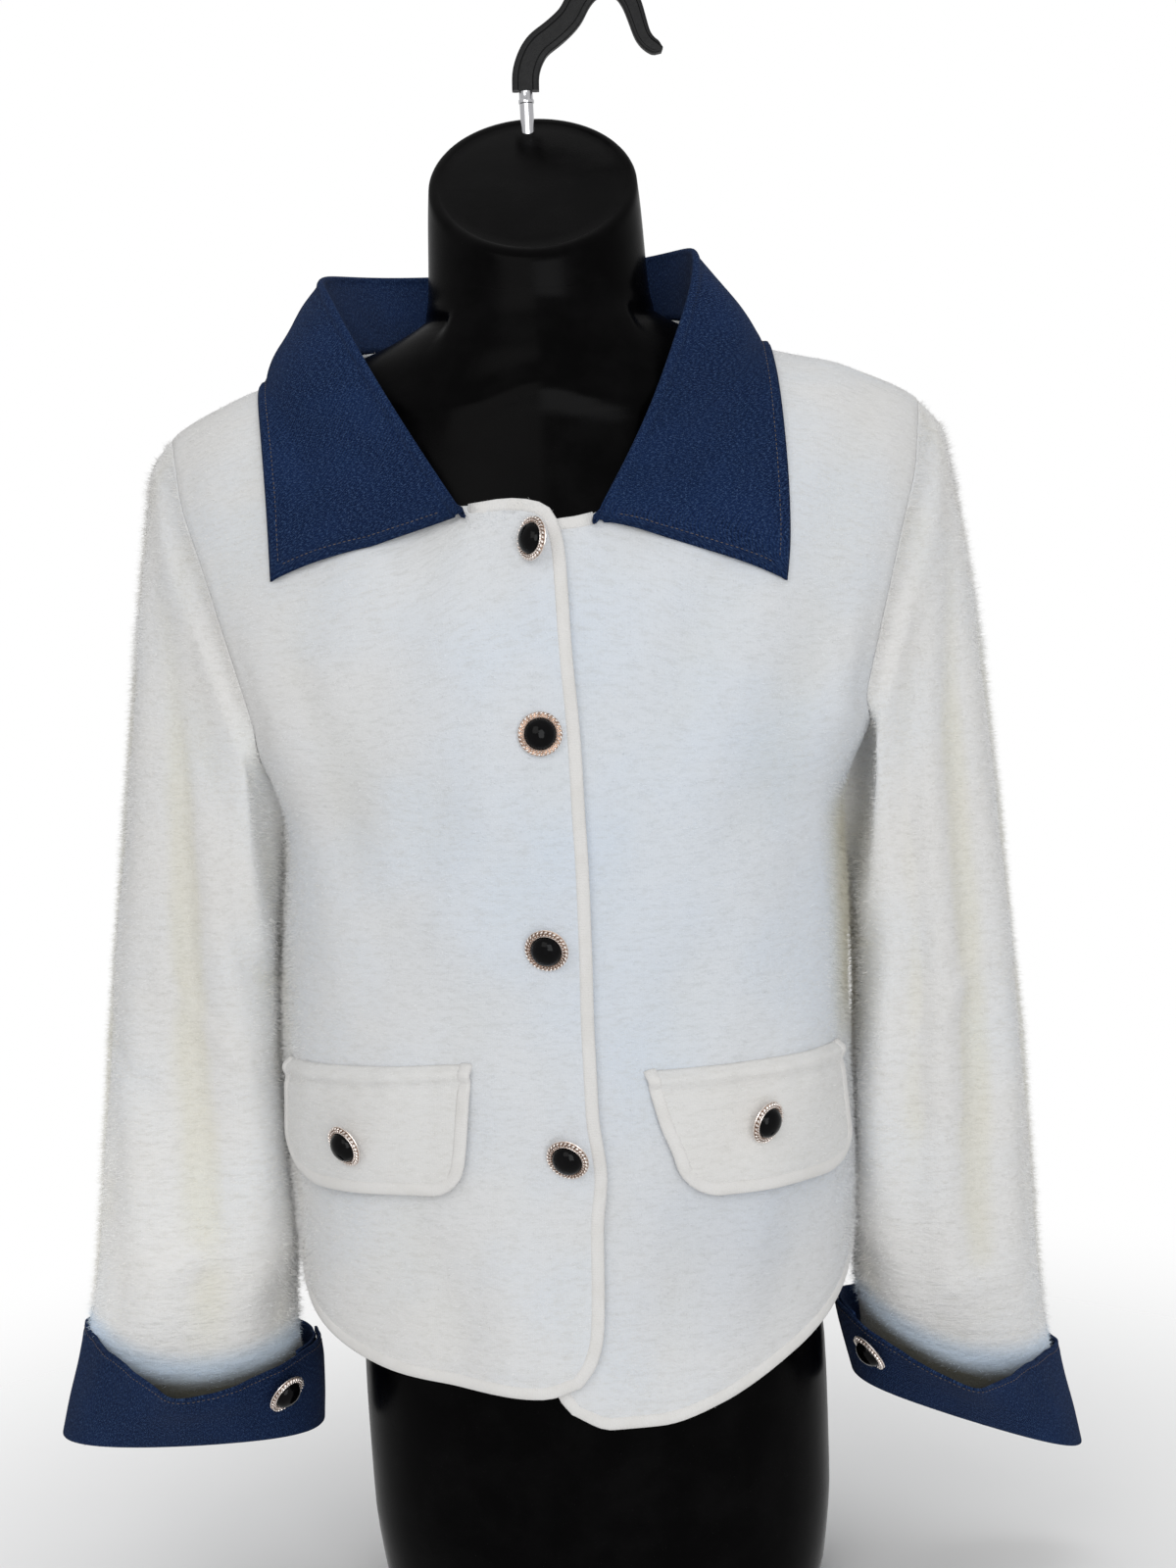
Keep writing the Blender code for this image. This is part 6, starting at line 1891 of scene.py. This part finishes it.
def addNap(word, sheet, count, lengths, combed, seed):
    chance = np.random.default_rng(seed)
    points, normals, tint = sheet["points"], sheet["normals"], sheet["tint"]
    area = np.linalg.norm(
        np.cross(points[1:, :-1] - points[:-1, :-1], points[:-1, 1:] - points[:-1, :-1]), axis=-1
    )
    if word == "FrontLeft":
        area = area * (points[:-1, :-1, 0] > napForm["hiddenLap"])
    shaggy = sheet["shaggy"][:-1, :-1]
    weight = area * (1 + napForm["denser"] * shaggy)
    cell = chance.choice(area.size, count, p=(weight / weight.sum()).ravel())
    i, j = np.unravel_index(cell, area.shape)
    a, b = chance.random((2, count, 1))
    root = (1 - a) * ((1 - b) * points[i, j] + b * points[i, j + 1]) + a * (
        (1 - b) * points[i + 1, j] + b * points[i + 1, j + 1]
    )
    upright = normals[i, j]
    rough = shaggy[i, j][:, None]
    drift = chance.normal(0, 1, (count, 3)) * napForm["lean"] + np.array(combed)
    drift = drift - upright * np.minimum(0, (drift * upright).sum(axis=1, keepdims=True))
    standing = unit(upright + drift)
    crosswise = unit(np.cross(upright, np.array((0.0, 0.0, 1.0))) + 1e-9) * np.where(
        chance.random((count, 1)) < 0.5, -1.0, 1.0)
    least, more = napForm["lyingLift"]
    lift = least + more * chance.random((count, 1))
    waver = chance.normal(0, napForm["lyingWaver"], (count, 3)) * np.array((0.3, 0.3, 1.0))
    lying = unit(crosswise + upright * lift + waver)
    lies = chance.random((count, 1)) < napForm["lying"] * (1 - 0.7 * rough)
    way = np.where(lies, lying, standing)
    long = lengths[0] + (lengths[1] - lengths[0]) * chance.random((count, 1)) ** 1.5
    long = long * (1 + napForm["shaggier"] * rough)
    across = unit(np.cross(standing, chance.normal(0, 1, (count, 3)))) * napForm["width"] / 2
    across = np.where(lies, unit(np.cross(lying, upright)) * napForm["lyingWidth"] / 2, across)
    tip = root + way * long - np.array((0, 0, napForm["droop"])) * long
    root = root - upright * 0.0001
    data = looseBlades("nap" + word, count)
    corner = np.empty(len(data.loops), int)
    data.loops.foreach_get("vertex_index", corner)
    corner = corner.reshape(count, 3)
    place = np.empty((len(data.vertices), 3))
    place[corner] = np.stack((root - across, root + across, tip), axis=1)
    data.vertices.foreach_set("co", place.ravel())
    least, more = napForm["tone"]
    tone = least + more * chance.random((count, 1))
    colours = np.ones((len(data.vertices), 4))
    # the fibres carry the cloth's painted light and shade tints, each at a random tone
    colours[corner.ravel(), :3] = np.repeat(tint[i, j] * tone, 3, axis=0)
    data.color_attributes.new("tint", "FLOAT_COLOR", "POINT").data.foreach_set("color", colours.ravel())
    data.update()
    addPiece("nap" + word, data, looks["nap"])


for row in napForm["pieces"]:
    addNap(*row)
print("nap made")
